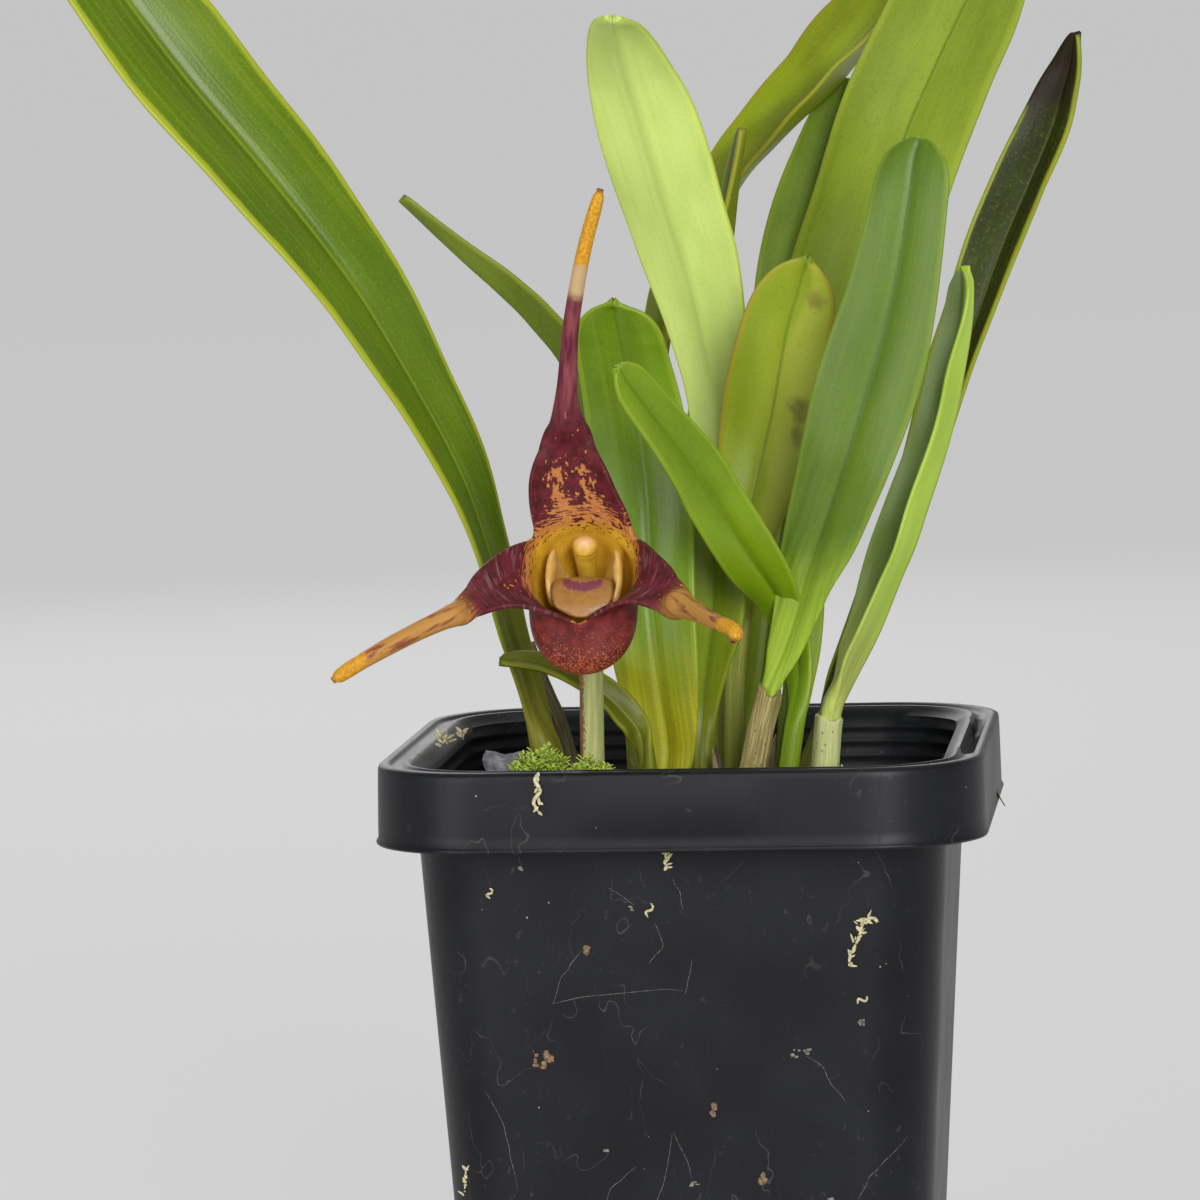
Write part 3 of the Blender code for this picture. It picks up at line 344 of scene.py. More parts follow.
def piece(name, verts, faces, finishes, slot, nodes=(), marks=None):
    """One smooth piece from points in millimetres, riding on the pot's body."""
    mesh = bpy.data.meshes.new(name)
    mesh.from_pydata([tuple(Vector(v) * MM) for v in verts], [], faces)
    if marks:
        keep_marks(mesh, marks)
    shell = bmesh.new()
    shell.from_mesh(mesh)
    bmesh.ops.recalc_face_normals(shell, faces=shell.faces)
    shell.to_mesh(mesh)
    shell.free()
    for finish in finishes:
        mesh.materials.append(finish)
    mesh.shade_smooth()
    obj = bpy.data.objects.new(name, mesh)
    bpy.context.scene.collection.objects.link(obj)
    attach(obj, "root")
    if nodes:
        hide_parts(*nodes)
    return obj


def apply_modifiers(obj):
    """Keeps the mesh as its modifiers leave it."""
    bpy.context.view_layer.update()
    graph = bpy.context.evaluated_depsgraph_get()
    spent = obj.data
    obj.data = bpy.data.meshes.new_from_object(obj.evaluated_get(graph))
    obj.modifiers.clear()
    bpy.data.meshes.remove(spent)


class Heap:
    """Many small closed bodies gathered into one mesh, with the same marks on each point."""

    def __init__(self, *marks):
        self.verts = []
        self.faces = []
        self.marks = {key: [] for key in marks}

    def add(self, verts, faces, **marks):
        """Adds one closed body; a mark is a list or one value for all its points."""
        start = len(self.verts)
        self.verts += verts
        self.faces += [tuple(start + k for k in face) for face in faces]
        for key, values in marks.items():
            self.marks[key] += values if isinstance(values, list) else [values] * len(verts)

    def rings(self, rings, **marks):
        """A closed body through rings of equally many points."""
        self.add(*ring_body(rings), **marks)

    def make(self, name, finishes, slot, nodes=()):
        """Makes the whole heap one piece."""
        return piece(name, self.verts, self.faces, finishes, slot, nodes, self.marks)


def ring_body(rings):
    """Points and faces of a closed body through rings of equally many points."""
    sides = len(rings[0])
    verts = [p for ring in rings for p in ring]
    faces = [tuple(reversed(range(sides))), tuple(range(len(verts) - sides, len(verts)))]
    for r in range(len(rings) - 1):
        for k in range(sides):
            a, b = r * sides + k, r * sides + (k + 1) % sides
            faces.append((a, b, b + sides, a + sides))
    return verts, faces


def circle(centre, along, radius, sides, up=Vector((0, -1, 0))):
    """A ring of points round a line's direction; the radius may be a function of the angle."""
    side = along.cross(up).normalized()
    other = side.cross(along)
    ring = []
    for k in range(sides):
        turn = 2 * math.pi * k / sides
        reach = radius(turn) if callable(radius) else radius
        ring.append(centre + (side * math.cos(turn) + other * math.sin(turn)) * reach)
    return ring


# Finishes

class Shade:
    """A value, place or colour that changes over a surface: one socket of a finish's nodes."""

    def __init__(self, finish, socket):
        self.finish = finish
        self.socket = socket

    def sum(self, operation, *terms):
        """A sum, product or the like of shades and numbers."""
        return self.finish.node("Math", {"operation": operation}, dict(enumerate(terms)))

    def __add__(self, other):
        return self.sum("ADD", self, other)

    __radd__ = __add__

    def __sub__(self, other):
        return self.sum("SUBTRACT", self, other)

    def __rsub__(self, other):
        return self.sum("SUBTRACT", other, self)

    def __mul__(self, other):
        return self.sum("MULTIPLY", self, other)

    __rmul__ = __mul__

    def __abs__(self):
        return self.sum("ABSOLUTE", self)


class Finish:
    """One finish of the plant or its pot, built round a Principled shader."""

    def __init__(self, name, **plain):
        self.material = bpy.data.materials.new(name)
        self.material.use_nodes = True
        self.tree = self.material.node_tree
        self.shader = self.tree.nodes["Principled BSDF"]
        for key, value in plain.items():
            self.feed(self.shader.inputs[key.replace("_", " ")], value)

    def feed(self, socket, value):
        """Links a shade to a socket, or sets the socket to a plain number or colour."""
        if isinstance(value, Shade):
            self.tree.links.new(value.socket, socket)
        elif socket.type == "RGBA":
            socket.default_value = (*value[:3], 1)
        else:
            socket.default_value = value

    def node(self, kind, settings, sockets, output=0):
        """A node of a type: first its settings, then the values or links of its sockets."""
        made = self.tree.nodes.new("ShaderNode" + kind)
        for key, value in settings.items():
            setattr(made, key, value)
        for key, value in sockets.items():
            self.feed(made.inputs[key], value)
        return Shade(self, made.outputs[output])

    def mark(self, name):
        """A number kept with the mesh's points."""
        return self.node("Attribute", {"attribute_name": name}, {}, "Fac")

    def lie(self, name):
        """A place kept with the mesh's points."""
        return self.node("Attribute", {"attribute_name": name}, {}, "Vector")

    def place(self):
        """The place on the object, in millimetres."""
        spot = self.node("TexCoord", {}, {}, "Object")
        return self.node("VectorMath", {"operation": "SCALE"}, {0: spot, "Scale": 1000.0})

    def near(self, place, centre):
        """Distance in millimetres from a place to a point."""
        return self.node("VectorMath", {"operation": "DISTANCE"}, {0: place, 1: centre}, "Value")

    def part(self, place, axis):
        """One of a place's three numbers."""
        return self.node("SeparateXYZ", {}, {0: place}, axis)

    def counted(self, place, period):
        """A place counted in sizes in millimetres, the same or one for each axis."""
        sizes = period if isinstance(period, tuple) else (period,) * 3
        return self.node("VectorMath", {"operation": "MULTIPLY"},
                         {0: place, 1: tuple(1 / size for size in sizes)})

    def cloud(self, place, period, detail=2.0, rough=0.5, output=0):
        """Soft noise with lumps of a size."""
        return self.node("TexNoise", {}, {"Vector": self.counted(place, period), "Scale": 1.0,
                                          "Detail": detail, "Roughness": rough}, output)

    def cells(self, place, period):
        """Distance from the middle of cells of a size, in cell sizes."""
        return self.node("TexVoronoi", {}, {"Vector": self.counted(place, period), "Scale": 1.0}, "Distance")

    def band(self, value, low, high):
        """0 below the low value, 1 above the high one, smooth between; falls if low is higher."""
        return self.node("MapRange", {"interpolation_type": "SMOOTHSTEP"},
                         {"Value": value, "From Min": low, "From Max": high})

    def tint(self, share, under, over, kind="MIX"):
        """One colour over another by a share."""
        return self.node("Mix", {"data_type": "RGBA", "blend_type": kind},
                         {0: share, 6: under, 7: over}, 2)

    def relief(self, height, depth):
        """Small relief of a depth in millimetres."""
        bump = self.node("Bump", {}, {"Height": height, "Distance": depth * MM, "Strength": 1.0})
        self.feed(self.shader.inputs["Normal"], bump)

    def done(self, colour, roughness):
        """The finished material, with its colour and roughness fed."""
        self.feed(self.shader.inputs["Base Color"], colour)
        self.feed(self.shader.inputs["Roughness"], roughness)
        return self.material


# How each leaf looks: two greens of its upper face and of its underside, the line of the midrib,
# the tint of its margin, its foot, dark flecks, blotches as (place, size, strength), and its gloss.
COMMON_LEAF = dict(
    light=(0.16, 0.28, 0.012), dark=(0.10, 0.19, 0.006), below=(0.22, 0.32, 0.02),
    below_dark=(0.15, 0.23, 0.012), rib=(0.07, 0.13, 0.005), rib_share=0.6,
    edge=(0.30, 0.36, 0.024), edge_share=0.5, foot=(0.18, 0.20, 0.012), foot_top=80.0, foot_run=14.0,
    flecks=0.3, fleck=(0.05, 0.05, 0.01), blots=(), gloss=0.36, tip=None, veins=0.5,
    yellow_half=None,
)
LEAF_LOOKS = {
    "leaf_long_left": dict(
        light=(0.095, 0.165, 0.004), dark=(0.072, 0.132, 0.003), below=(0.24, 0.29, 0.024),
        below_dark=(0.16, 0.20, 0.016), rib=(0.23, 0.31, 0.024), rib_share=0.5,
        edge=(0.32, 0.36, 0.02), edge_share=0.85, foot=(0.24, 0.235, 0.02), foot_top=105.0,
        foot_run=26.0, flecks=0.75, gloss=0.30,
        blots=[((-27.5, -20, 111.5), 2.2, 0.3)]),
    "leaf_left_arching": dict(
        light=(0.104, 0.16, 0.005), dark=(0.072, 0.112, 0.003), below=(0.136, 0.184, 0.01),
        below_dark=(0.096, 0.136, 0.006), edge=(0.25, 0.28, 0.02)),
    "leaf_front_centre": dict(
        light=(0.126, 0.227, 0.006), dark=(0.092, 0.168, 0.003), rib=(0.07, 0.14, 0.004),
        rib_share=0.55, edge=(0.22, 0.30, 0.016), foot=(0.37, 0.36, 0.006), foot_top=92.0,
        foot_run=16.0, flecks=0.55, gloss=0.34,
        blots=[((-4.8, -9.5, 71.5), 0.7, 0.9), ((-3.4, -11, 78.5), 0.5, 0.9)]),
    "leaf_pale_underside": dict(
        light=(0.18, 0.30, 0.016), dark=(0.12, 0.22, 0.008), below=(0.516, 0.636, 0.172),
        below_dark=(0.413, 0.525, 0.12), edge=(0.56, 0.64, 0.096), edge_share=0.35,
        rib=(0.42, 0.52, 0.068), foot=(0.23, 0.29, 0.032), foot_top=112.0, foot_run=22.0,
        flecks=0.12, gloss=0.5),
    "leaf_spotted": dict(
        light=(0.27, 0.34, 0.02), dark=(0.20, 0.27, 0.01), rib=(0.13, 0.18, 0.008),
        rib_share=0.7, edge=(0.30, 0.26, 0.02), edge_share=0.8, foot=(0.24, 0.27, 0.036),
        foot_top=92.0, foot_run=12.0, flecks=0.35, gloss=0.42,
        yellow_half=(0.31, 0.35, 0.035),
        blots=[((12.9, 3.6, 113.4), 2.6, 0.8), ((12.3, 3.9, 110.6), 2.6, 0.85),
               ((15.6, 2, 127.2), 2.0, 0.6)]),
    "leaf_front_diagonal": dict(
        light=(0.17, 0.28, 0.006), dark=(0.12, 0.21, 0.003), below=(0.23, 0.36, 0.016),
        below_dark=(0.17, 0.28, 0.008), rib=(0.10, 0.18, 0.004), edge=(0.24, 0.34, 0.02),
        foot=(0.15, 0.22, 0.012), flecks=0.25),
    # The tall front leaf: its bright foot colour reaches up over its low blade, partly its pale stem and
    # partly painted light that lifts the shade there.
    "leaf_tall_front": dict(
        light=(0.092, 0.164, 0.010), dark=(0.073, 0.136, 0.008), rib=(0.045, 0.095, 0.006),
        rib_share=0.85, edge=(0.158, 0.231, 0.022), edge_share=0.55, foot=(0.31, 0.46, 0.03),
        foot_top=101.0, foot_run=12.0, flecks=0.15, gloss=0.40,
        blots=[((19.6, -10.4, 120.9), 0.45, 1.0)]),
    # The right folded leaf: its whitish upper colours are a painted reflection, and its bright foot colour
    # is a painted highlight.
    "leaf_right_folded": dict(
        light=(0.34, 0.46, 0.20), dark=(0.17, 0.27, 0.05), below=(0.419, 0.621, 0.032),
        below_dark=(0.324, 0.499, 0.016), rib=(0.20, 0.32, 0.012), edge=(0.36, 0.48, 0.044),
        foot=(0.50, 0.58, 0.13), foot_top=95.0, foot_run=12.0, flecks=0.15, gloss=0.33),
    "leaf_broad_back": dict(
        light=(0.221, 0.295, 0.018), dark=(0.164, 0.23, 0.01), rib=(0.12, 0.18, 0.008),
        rib_share=0.9, edge=(0.30, 0.36, 0.032), flecks=0.5, fleck=(0.10, 0.12, 0.02),
        foot=(0.20, 0.26, 0.02), gloss=0.44),
    "leaf_olive_back": dict(
        light=(0.21, 0.285, 0.005), dark=(0.135, 0.175, 0.003), below=(0.27, 0.34, 0.010),
        below_dark=(0.17, 0.221, 0.007), rib=(0.26, 0.14, 0.006), rib_share=0.8,
        edge=(0.30, 0.22, 0.012), edge_share=0.35, flecks=0.45),
    "leaf_narrow_tip": dict(
        light=(0.19, 0.23, 0.006), dark=(0.14, 0.17, 0.004), below=(0.19, 0.23, 0.006),
        below_dark=(0.14, 0.17, 0.004), edge=(0.34, 0.34, 0.02), edge_share=0.8),
    "leaf_blue_back": dict(
        light=(0.21, 0.322, 0.034), dark=(0.154, 0.238, 0.025), gloss=0.48),
    "leaf_brown_tip": dict(
        light=(0.030, 0.042, 0.001), dark=(0.016, 0.021, 0.001), below=(0.083, 0.11, 0.003),
        below_dark=(0.055, 0.077, 0.002), edge=(0.25, 0.28, 0.008), edge_share=0.9,
        rib=(0.06, 0.07, 0.002), veins=0.12, flecks=0.5, tip=((0.016, 0.009, 0.003), 150.0, 4.0)),
    "leaf_low_curl": dict(
        light=(0.13, 0.15, 0.003), dark=(0.075, 0.085, 0.002), below=(0.12, 0.14, 0.003),
        below_dark=(0.07, 0.08, 0.002), edge=(0.22, 0.22, 0.012), edge_share=0.7,
        rib=(0.16, 0.17, 0.008), flecks=0.4, gloss=0.42),
    "leaf_short_right": dict(
        light=(0.17, 0.28, 0.012), dark=(0.12, 0.21, 0.006), below=(0.17, 0.28, 0.008),
        below_dark=(0.13, 0.21, 0.005), foot=(0.16, 0.26, 0.008)),
    "leaf_hidden_middle": dict(
        light=(0.19, 0.26, 0.012), dark=(0.14, 0.19, 0.006), foot=(0.13, 0.13, 0.003),
        foot_top=84.0),
}


def leaf_finish(name):
    """Leathery leaf skin: nerves along it, a midrib line, a tinted margin, flecks and an old foot; on two
    leaves the foot's colour is also painted light.
    """
    look = {**COMMON_LEAF, **LEAF_LOOKS.get(name, {})}
    f = Finish("skin_of_" + name, Specular_IOR_Level=0.28)
    across, offset, upper = f.mark("across"), f.mark("offset"), f.mark("upper")
    lie, place = f.lie("lie"), f.place()
    height = f.part(place, "Z")

    patches = f.band(f.cloud(lie, (6.0, 18.0, 1.0), 2.0), 0.34, 0.66)
    nerves = f.cloud(lie, (0.55, 60.0, 1.0), 2.0, 0.6)
    grains = f.cloud(lie, (0.34, 0.42, 1.0), 2.0, 0.6)
    top = f.tint(patches, look["dark"], look["light"])
    top = f.tint(f.band(nerves, 0.5, 0.72) * (0.35 * look["veins"]), top, look["edge"])
    top = f.tint(f.band(nerves, 0.48, 0.30) * (0.5 * look["veins"]), top, look["dark"])
    base = f.tint(patches, look["below_dark"], look["below"])
    base = f.tint(f.band(nerves, 0.5, 0.3) * 0.3, base, look["below_dark"])
    if look["yellow_half"]:
        yellow = f.band(across + (patches - 0.5) * 0.5, 0.02, 0.35)
        top = f.tint(yellow * 0.8, top, look["yellow_half"])
    rib_line = f.band(abs(offset) + grains * 0.10, 0.34, 0.14)
    top = f.tint(rib_line * look["rib_share"], top, look["rib"])
    base = f.tint(f.band(abs(offset), 0.7, 0.2) * 0.45, base, look["below_dark"])
    skin = f.tint(upper, base, top)
    skin = f.tint(f.band(grains, 0.55, 0.75) * 0.22, skin, look["edge"])
    skin = f.tint(f.band(grains, 0.45, 0.25) * 0.22, skin, look["below_dark"], "MULTIPLY")

    margin = f.band(abs(across) + f.cloud(lie, (3.0, 4.0, 1.0)) * 0.06, 0.93, 1.0)
    skin = f.tint(margin * look["edge_share"], skin, look["edge"])

    # The foot's colour below foot_top: an old, faded foot on most leaves; on the tall front leaf and the
    # right folded leaf it is also painted light.
    old = f.band(height + f.cloud(lie, (2.0, 9.0, 1.0)) * 10.0,
                 look["foot_top"] + 5, look["foot_top"] + 5 - look["foot_run"])
    foot = f.tint(f.band(nerves, 0.35, 0.65), tuple(c * 0.72 for c in look["foot"]), look["foot"])
    skin = f.tint(old, skin, foot)

    speck = f.band(f.cells(lie, (1.3, 1.7, 1.0)) + f.cloud(lie, 5.0) * 0.25, 0.26, 0.18)
    speck = speck * f.band(f.cloud(lie, (7.0, 11.0, 1.0)), 0.62 - 0.25 * look["flecks"], 0.70)
    skin = f.tint(speck * (look["flecks"] * 0.9), skin, look["fleck"])
    for spot, size, strength in look["blots"]:
        reach = f.near(place, spot) + f.cloud(place, 1.6) * size * 0.9
        blot = f.band(reach, size * 1.35, size * 0.65)
        skin = f.tint(blot * strength, skin, (0.10, 0.07, 0.02))
    if look["tip"]:
        colour, start, run = look["tip"]
        dead = f.band(height + f.cloud(lie, (1.2, 5.0, 1.0)) * 7.0, start, start + run)
        rim = f.band(across, 0.72, 0.88)
        skin = f.tint(dead * (1 - rim * 0.8), skin, colour)

    rough = look["gloss"] + 0.10 * (1 - upper) + 0.12 * (grains - 0.5) + 0.15 * old
    f.relief(nerves * 0.5 + grains * (0.35 + 0.9 * old), 0.05)
    return f.done(skin, rough)


# Leaves

# Where the points of a blade's section lie, from its left edge at -1 to its right one at 1.
BLADE_STEPS = [-1 + 2 * k / (BLADE_COLUMNS - 1) for k in range(BLADE_COLUMNS)]


def blade_section(half, fold, lift):
    """Points round a blade's section: sideways, towards the upper face, share across, upper."""
    slope = math.radians(fold)
    wide = ease((half - 0.9) / 1.6)

    def height(q):
        keel_line = abs(q) ** 1.15 * half * math.tan(slope)
        sway = lift * q * q * (1 if q > 0 else -0.8)
        return keel_line + 0.05 * half * math.sin(math.pi * abs(q)) + sway

    upper = [(q * half, height(q) - 0.24 * wide * bell(q * half, 0.42), q, 1.0) for q in BLADE_STEPS]
    under = []
    for q in reversed(BLADE_STEPS):
        depth = mix(BLADE_THICKNESS * 1.12, MARGIN_THICKNESS, abs(q) ** 1.8)
        depth += 0.30 * wide * bell(q * half, 0.5)
        lean = slope * q
        under.append((q * half + math.sin(lean) * depth, height(q) - math.cos(lean) * depth, q, 0.0))

    def rounded_edge(start, end, way):
        (x0, z0), (x1, z1) = start[:2], end[:2]
        middle = ((x0 + x1) / 2, (z0 + z1) / 2)
        arm = ((x0 - x1) / 2, (z0 - z1) / 2)
        out = (abs(arm[1]) * way, -arm[0] * way * (1 if arm[1] > 0 else -1))
        return [(middle[0] + arm[0] * math.cos(a) + out[0] * math.sin(a),
                 middle[1] + arm[1] * math.cos(a) + out[1] * math.sin(a), way * 1.03, 0.5)
                for a in (math.pi / 4, math.pi / 2, math.pi * 3 / 4)]

    right = rounded_edge(upper[-1], under[0], 1)
    left = rounded_edge(under[-1], upper[0], -1)
    return upper + right + under + left


def stem_angles():
    """Where each point of the blade's section lies round the stem, in radians."""
    turns = [90 - 72 * q for q in BLADE_STEPS] + [9, 0, -9]
    turns += [-90 + 72 * q for q in reversed(BLADE_STEPS)] + [-171, -180, -189]
    return [math.radians(t) for t in turns]


def leaf_rings(name, spec):
    """Rings from the leaf's foot to its notched tip, with the marks that the skin reads."""
    length = path_length(smooth_path(spec["line"], 60))
    last_ring = TIP_RING_SHARE * max(48, round(length / RING_STEP)) - 1
    fine = smooth_path(spec["line"], last_ring + 1)
    kept = [k for k in range(last_ring + 1)
            if k % TIP_RING_SHARE == 0 or length * (1 - k / last_ring) < TIP_RUN]
    path = [fine[k] for k in kept]
    ways = tangents([p.xyz for p in path])
    first, last = (Vector(v).normalized() for v in spec["face"])
    turns = stem_angles()
    blunt = ROUNDED_TIPS.get(name, PLAIN_ROUNDING)
    seed = 3.7 * list(LEAVES).index(name)
    rings, marks = [], dict(across=[], offset=[], upper=[], lie=[])

    def ring(centre, along, face, width, run, end=0.0):
        side = along.cross(face).normalized()
        face = side.cross(along).normalized()
        opening = ease((centre.z - spec["opens"]) / OPENING_RUN)
        half = width / 2
        lift = opening * min(1.0, half / 6) * 0.30 * (math.sin(run / 7.3 + seed)
                                                      + 0.6 * math.sin(run / 3.1 + seed * 2))
        made = []
        fold = spec["fold"] * (1 - 0.6 * ease(run / length * 5 - 4))
        for (x, z, q, top), turn in zip(blade_section(half, fold, lift), turns):
            groove = 1 - 0.16 * bell(math.sin(turn) - 1, 0.12) * (math.sin(turn) > 0)
            stem = spec["stem"] * groove
            forward = end * (1 - 0.8 * q * q - 0.7 * bell(q, 0.2))
            made.append(centre + side * mix(math.cos(turn) * stem, x, opening)
                        + face * mix(math.sin(turn) * stem, z, opening) + along * forward)
            marks["across"].append(q)
            marks["offset"].append(q * max(half, 1.6))
            marks["upper"].append(0.0 if end else top)
            marks["lie"].append((q * half + (0 if top else 40), run, seed))
        rings.append(made)

    foot = path[0].xyz.copy()
    for z in (STEM_FOOT_Z, 60, 63, 66):
        ring(Vector((foot.x, foot.y, z)), UP, first, path[0].w, z - LINE_FOOT_Z)
    for k, p in enumerate(path):
        along = UP.lerp(ways[k], ease((p.z - LINE_FOOT_Z) / 4)).normalized()
        share = kept[k] / last_ring
        face = first.lerp(last, ease(share))
        to_tip = length * (1 - share)
        arch = math.sqrt(1 - max(0.0, 1 - to_tip / TIP_ARCH) ** 2)
        rounding = 1 + blunt * bell(to_tip, TIP_RUN)
        rounding *= TIP_WIDTH_LEFT + (1 - TIP_WIDTH_LEFT) * arch
        ring(p.xyz, along, face, p.w * rounding, length * share)
    tip = path[-1]
    for t in (0.3, 0.55, 0.8, 1.0):
        reach = TIP_CAP_REACH * tip.w * t
        end_width = tip.w * TIP_WIDTH_LEFT * (1 + blunt) * (1 - TIP_CAP_NARROWING * t * t)
        ring(tip.xyz + ways[-1] * reach * 0.25, ways[-1], last, end_width, length + reach, reach)
    return rings, marks


def end_faces(start, flip):
    """Faces that close a blade's end, each joining an upper point to the one beneath it."""
    n = BLADE_COLUMNS
    total = 2 * n + 6

    def below(k):
        return start + n + 3 + (n - 1 - k)

    faces = [(start + k, start + k + 1, below(k + 1), below(k)) for k in range(n - 1)]
    faces.append(tuple(start + k for k in (n - 1, n, n + 1, n + 2, n + 3)))
    faces.append(tuple(start + k % total for k in (2 * n + 2, 2 * n + 3, 2 * n + 4, 2 * n + 5, 0)))
    return [tuple(reversed(face)) for face in faces] if flip else faces


def leaf(name, spec):
    """One leaf: a smooth folded blade with a sunk midrib, a keel, and a grooved stem."""
    rings, marks = leaf_rings(name, spec)
    verts, faces = ring_body(rings)
    sides = len(rings[0])
    faces = faces[2:] + end_faces(0, False) + end_faces(len(verts) - sides, True)
    return piece(name + "_skin", verts, faces, [leaf_finish(name)], "leaf_green", [name], marks)


# Stalks and sheaths

def stalk_finish():
    """Pale green stalk, purple-brown down its left side, with fine flecks."""
    f = Finish("stalk_skin", Specular_IOR_Level=0.3)
    place, lie = f.place(), f.lie("lie")
    grains = f.cloud(lie, (0.3, 0.5, 1.0), 3.0, 0.6)
    streaks = f.cloud(lie, (0.5, 9.0, 1.0), 2.0)
    skin = f.tint(f.band(streaks, 0.35, 0.65), (0.34, 0.36, 0.13), (0.46, 0.47, 0.19))
    skin = f.tint(f.band(grains, 0.55, 0.75) * 0.4, skin, (0.56, 0.56, 0.28))
    flushed = f.band(f.mark("left_side") + (streaks - 0.5) * 0.9 + (grains - 0.5) * 1.1, 0.42, 0.72)
    skin = f.tint(flushed * 0.9, skin, (0.17, 0.05, 0.03))
    low = f.band(f.part(place, "Z"), 70.0, 67.0)
    skin = f.tint(low * 0.5, skin, (0.16, 0.15, 0.05))
    f.relief(grains * 0.7 + streaks, 0.05)
    return f.done(skin, 0.46 + 0.2 * (grains - 0.5))


def withered_finish(name, light, dark, rib=0.5):
    """Dry papery tissue: fibres along it, fading and dark mould flecks."""
    f = Finish(name, Specular_IOR_Level=0.25)
    lie = f.lie("lie")
    fibres = f.cloud(lie, (0.22, 7.0, 1.0), 3.0, 0.65)
    grains = f.cloud(lie, (0.3, 0.45, 1.0), 3.0, 0.6)
    skin = f.tint(f.band(fibres, 0.36, 0.64), dark, light)
    skin = f.tint(f.band(f.cloud(lie, (1.6, 3.5, 1.0)), 0.52, 0.68) * 0.5, skin, dark)
    flecks = f.band(f.cells(lie, (0.7, 0.9, 1.0)), 0.24, 0.14)
    skin = f.tint(flecks * 0.55, skin, (0.05, 0.035, 0.018))
    f.relief(fibres * rib + grains * 0.6, 0.10)
    return f.done(skin, 0.72 + 0.2 * (grains - 0.5))


def rod(name, line, count, sides, finish, slot, nodes, swell=None):
    """A round stem along a line of points with radii; swell changes the radius by angle and run."""
    path = smooth_path(line, count)
    ways = tangents([p.xyz for p in path])
    length = path_length(path)
    rings, marks = [], dict(left_side=[], lie=[])
    for k, (p, along) in enumerate(zip(path, ways)):
        run = length * k / (count - 1)
        ring = circle(p.xyz, along, lambda turn: p.w * (1 + (swell(turn, run) if swell else 0)), sides)
        for i, point in enumerate(ring):
            marks["left_side"].append((p.x - point.x) / p.w)
            marks["lie"].append((2 * math.pi * p.w * i / sides, run, 0.0))
        rings.append(ring)
    return piece(name, *ring_body(rings), [finish], slot, nodes, marks)


def flower_stalk():
    """The flower's stalk, faintly ribbed."""
    def ribs(turn, run):
        return 0.018 * math.cos(5 * turn + run * 0.05) + 0.02 * lumps((turn, run, 0), 3.0)
    rod("flower_stalk_skin", STALK, 90, 28, stalk_finish(), "stalk_green", ["flower_stalk"], ribs)


def old_stalk():
    """The withered stalk of an earlier flower."""
    finish = withered_finish("withered_stalk", (0.20, 0.17, 0.09), (0.08, 0.065, 0.03))

    def shrunk(turn, run):
        return 0.14 * math.cos(3 * turn + run * 0.12) + 0.10 * lumps((turn * 2, run, 4), 2.0)
    rod("old_stalk_skin", OLD_STALK, 70, 20, finish, "dry_sheath", ["old_stalk"], shrunk)


def point_at_height(line, z):
    """The point of a stem's line at a height, and its direction there."""
    path = [p.xyz for p in smooth_path(line, 90)]
    best = min(range(1, 89), key=lambda k: abs(path[k].z - z))
    return path[best], (path[best + 1] - path[best - 1]).normalized()


def sheath(name, spec, finish, slot, rib, tear, seed):
    """A papery tube round a stem, ribbed by its fibres and torn along its upper edge."""
    line = LEAVES[spec["stem"]]["line"]
    foot = medium_height(*line[0][:2]) - 0.6
    sides, rows, wall = 60, 30, 0.34
    rng = random.Random(seed)
    ribs = [rng.uniform(-1, 1) for _ in range(sides)]
    torn = [tear * (0.5 * math.sin(k * 2.3 * 10 / sides) + 0.6 * lumps((k * 0.35, seed, 0), 1.0)
                    + 0.25 * rng.uniform(-1, 1)) for k in range(sides)]
    outer, inner, marks_out = [], [], []
    for r in range(rows):
        share = r / (rows - 1)
        z = mix(foot, spec["top"], share)
        centre, along = point_at_height(line, max(z, line[0][2]))
        centre = centre + along * ((z - centre.z) / along.z)
        radius = mix(*spec["radii"], share) - 0.06
        ring_out = circle(centre, along, 1.0, sides)
        loose = 0.10 * ease(share * 2 - 1)
        row_out, row_in = [], []
        for k, p in enumerate(ring_out):
            arm = p - centre
            crease = rib * (0.6 * ribs[k] + 0.8 * lumps((k * 0.55, share * 1.6, seed), 1.0))
            reach = radius + crease + loose * lumps((k * 0.2, share * 3, seed + 5), 1.0)
            lift = UP * (torn[k] * ease(share * 3 - 2))
            row_out.append(centre + arm * reach + lift)
            row_in.append(centre + arm * (reach - wall) + lift)
            marks_out.append((2 * math.pi * radius * k / sides, z, seed))
        outer.append(row_out)
        inner.append(row_in)
    rings = [*outer, *reversed(inner)]
    verts = [p for ring in rings for p in ring]
    faces = []
    for r in range(len(rings)):
        after = (r + 1) % len(rings)
        for k in range(sides):
            j = (k + 1) % sides
            faces.append((r * sides + k, r * sides + j, after * sides + j, after * sides + k))
    marks = dict(lie=marks_out + list(reversed(marks_out)))
    return piece(name + "_skin", verts, faces, [finish], slot, [name], marks)


def sheaths():
    """A dry sheath and a green one, round the stems of two leaves."""
    dry = withered_finish("dry_sheath_paper", (0.40, 0.34, 0.14), (0.20, 0.15, 0.05))
    sheath("sheath_dry", SHEATHS["sheath_dry"], dry, "dry_sheath", 0.13, 0.9, 2.0)
    green = withered_finish("green_sheath_skin", (0.58, 0.61, 0.27), (0.43, 0.48, 0.19), 0.35)
    sheath("sheath_green", SHEATHS["sheath_green"], green, "stalk_green", 0.05, 0.35, 9.0)


# Flower

def cup_frame():
    """Right, up and out of the flower's mouth."""
    tilt = math.radians(CUP_TILT)
    out = Vector((0.03, -math.cos(tilt), math.sin(tilt))).normalized()
    right = Vector((1, 0, 0))
    up = out.cross(right).normalized()
    return up.cross(out).normalized(), up, out


RIGHT, ABOVE, OUT = cup_frame()


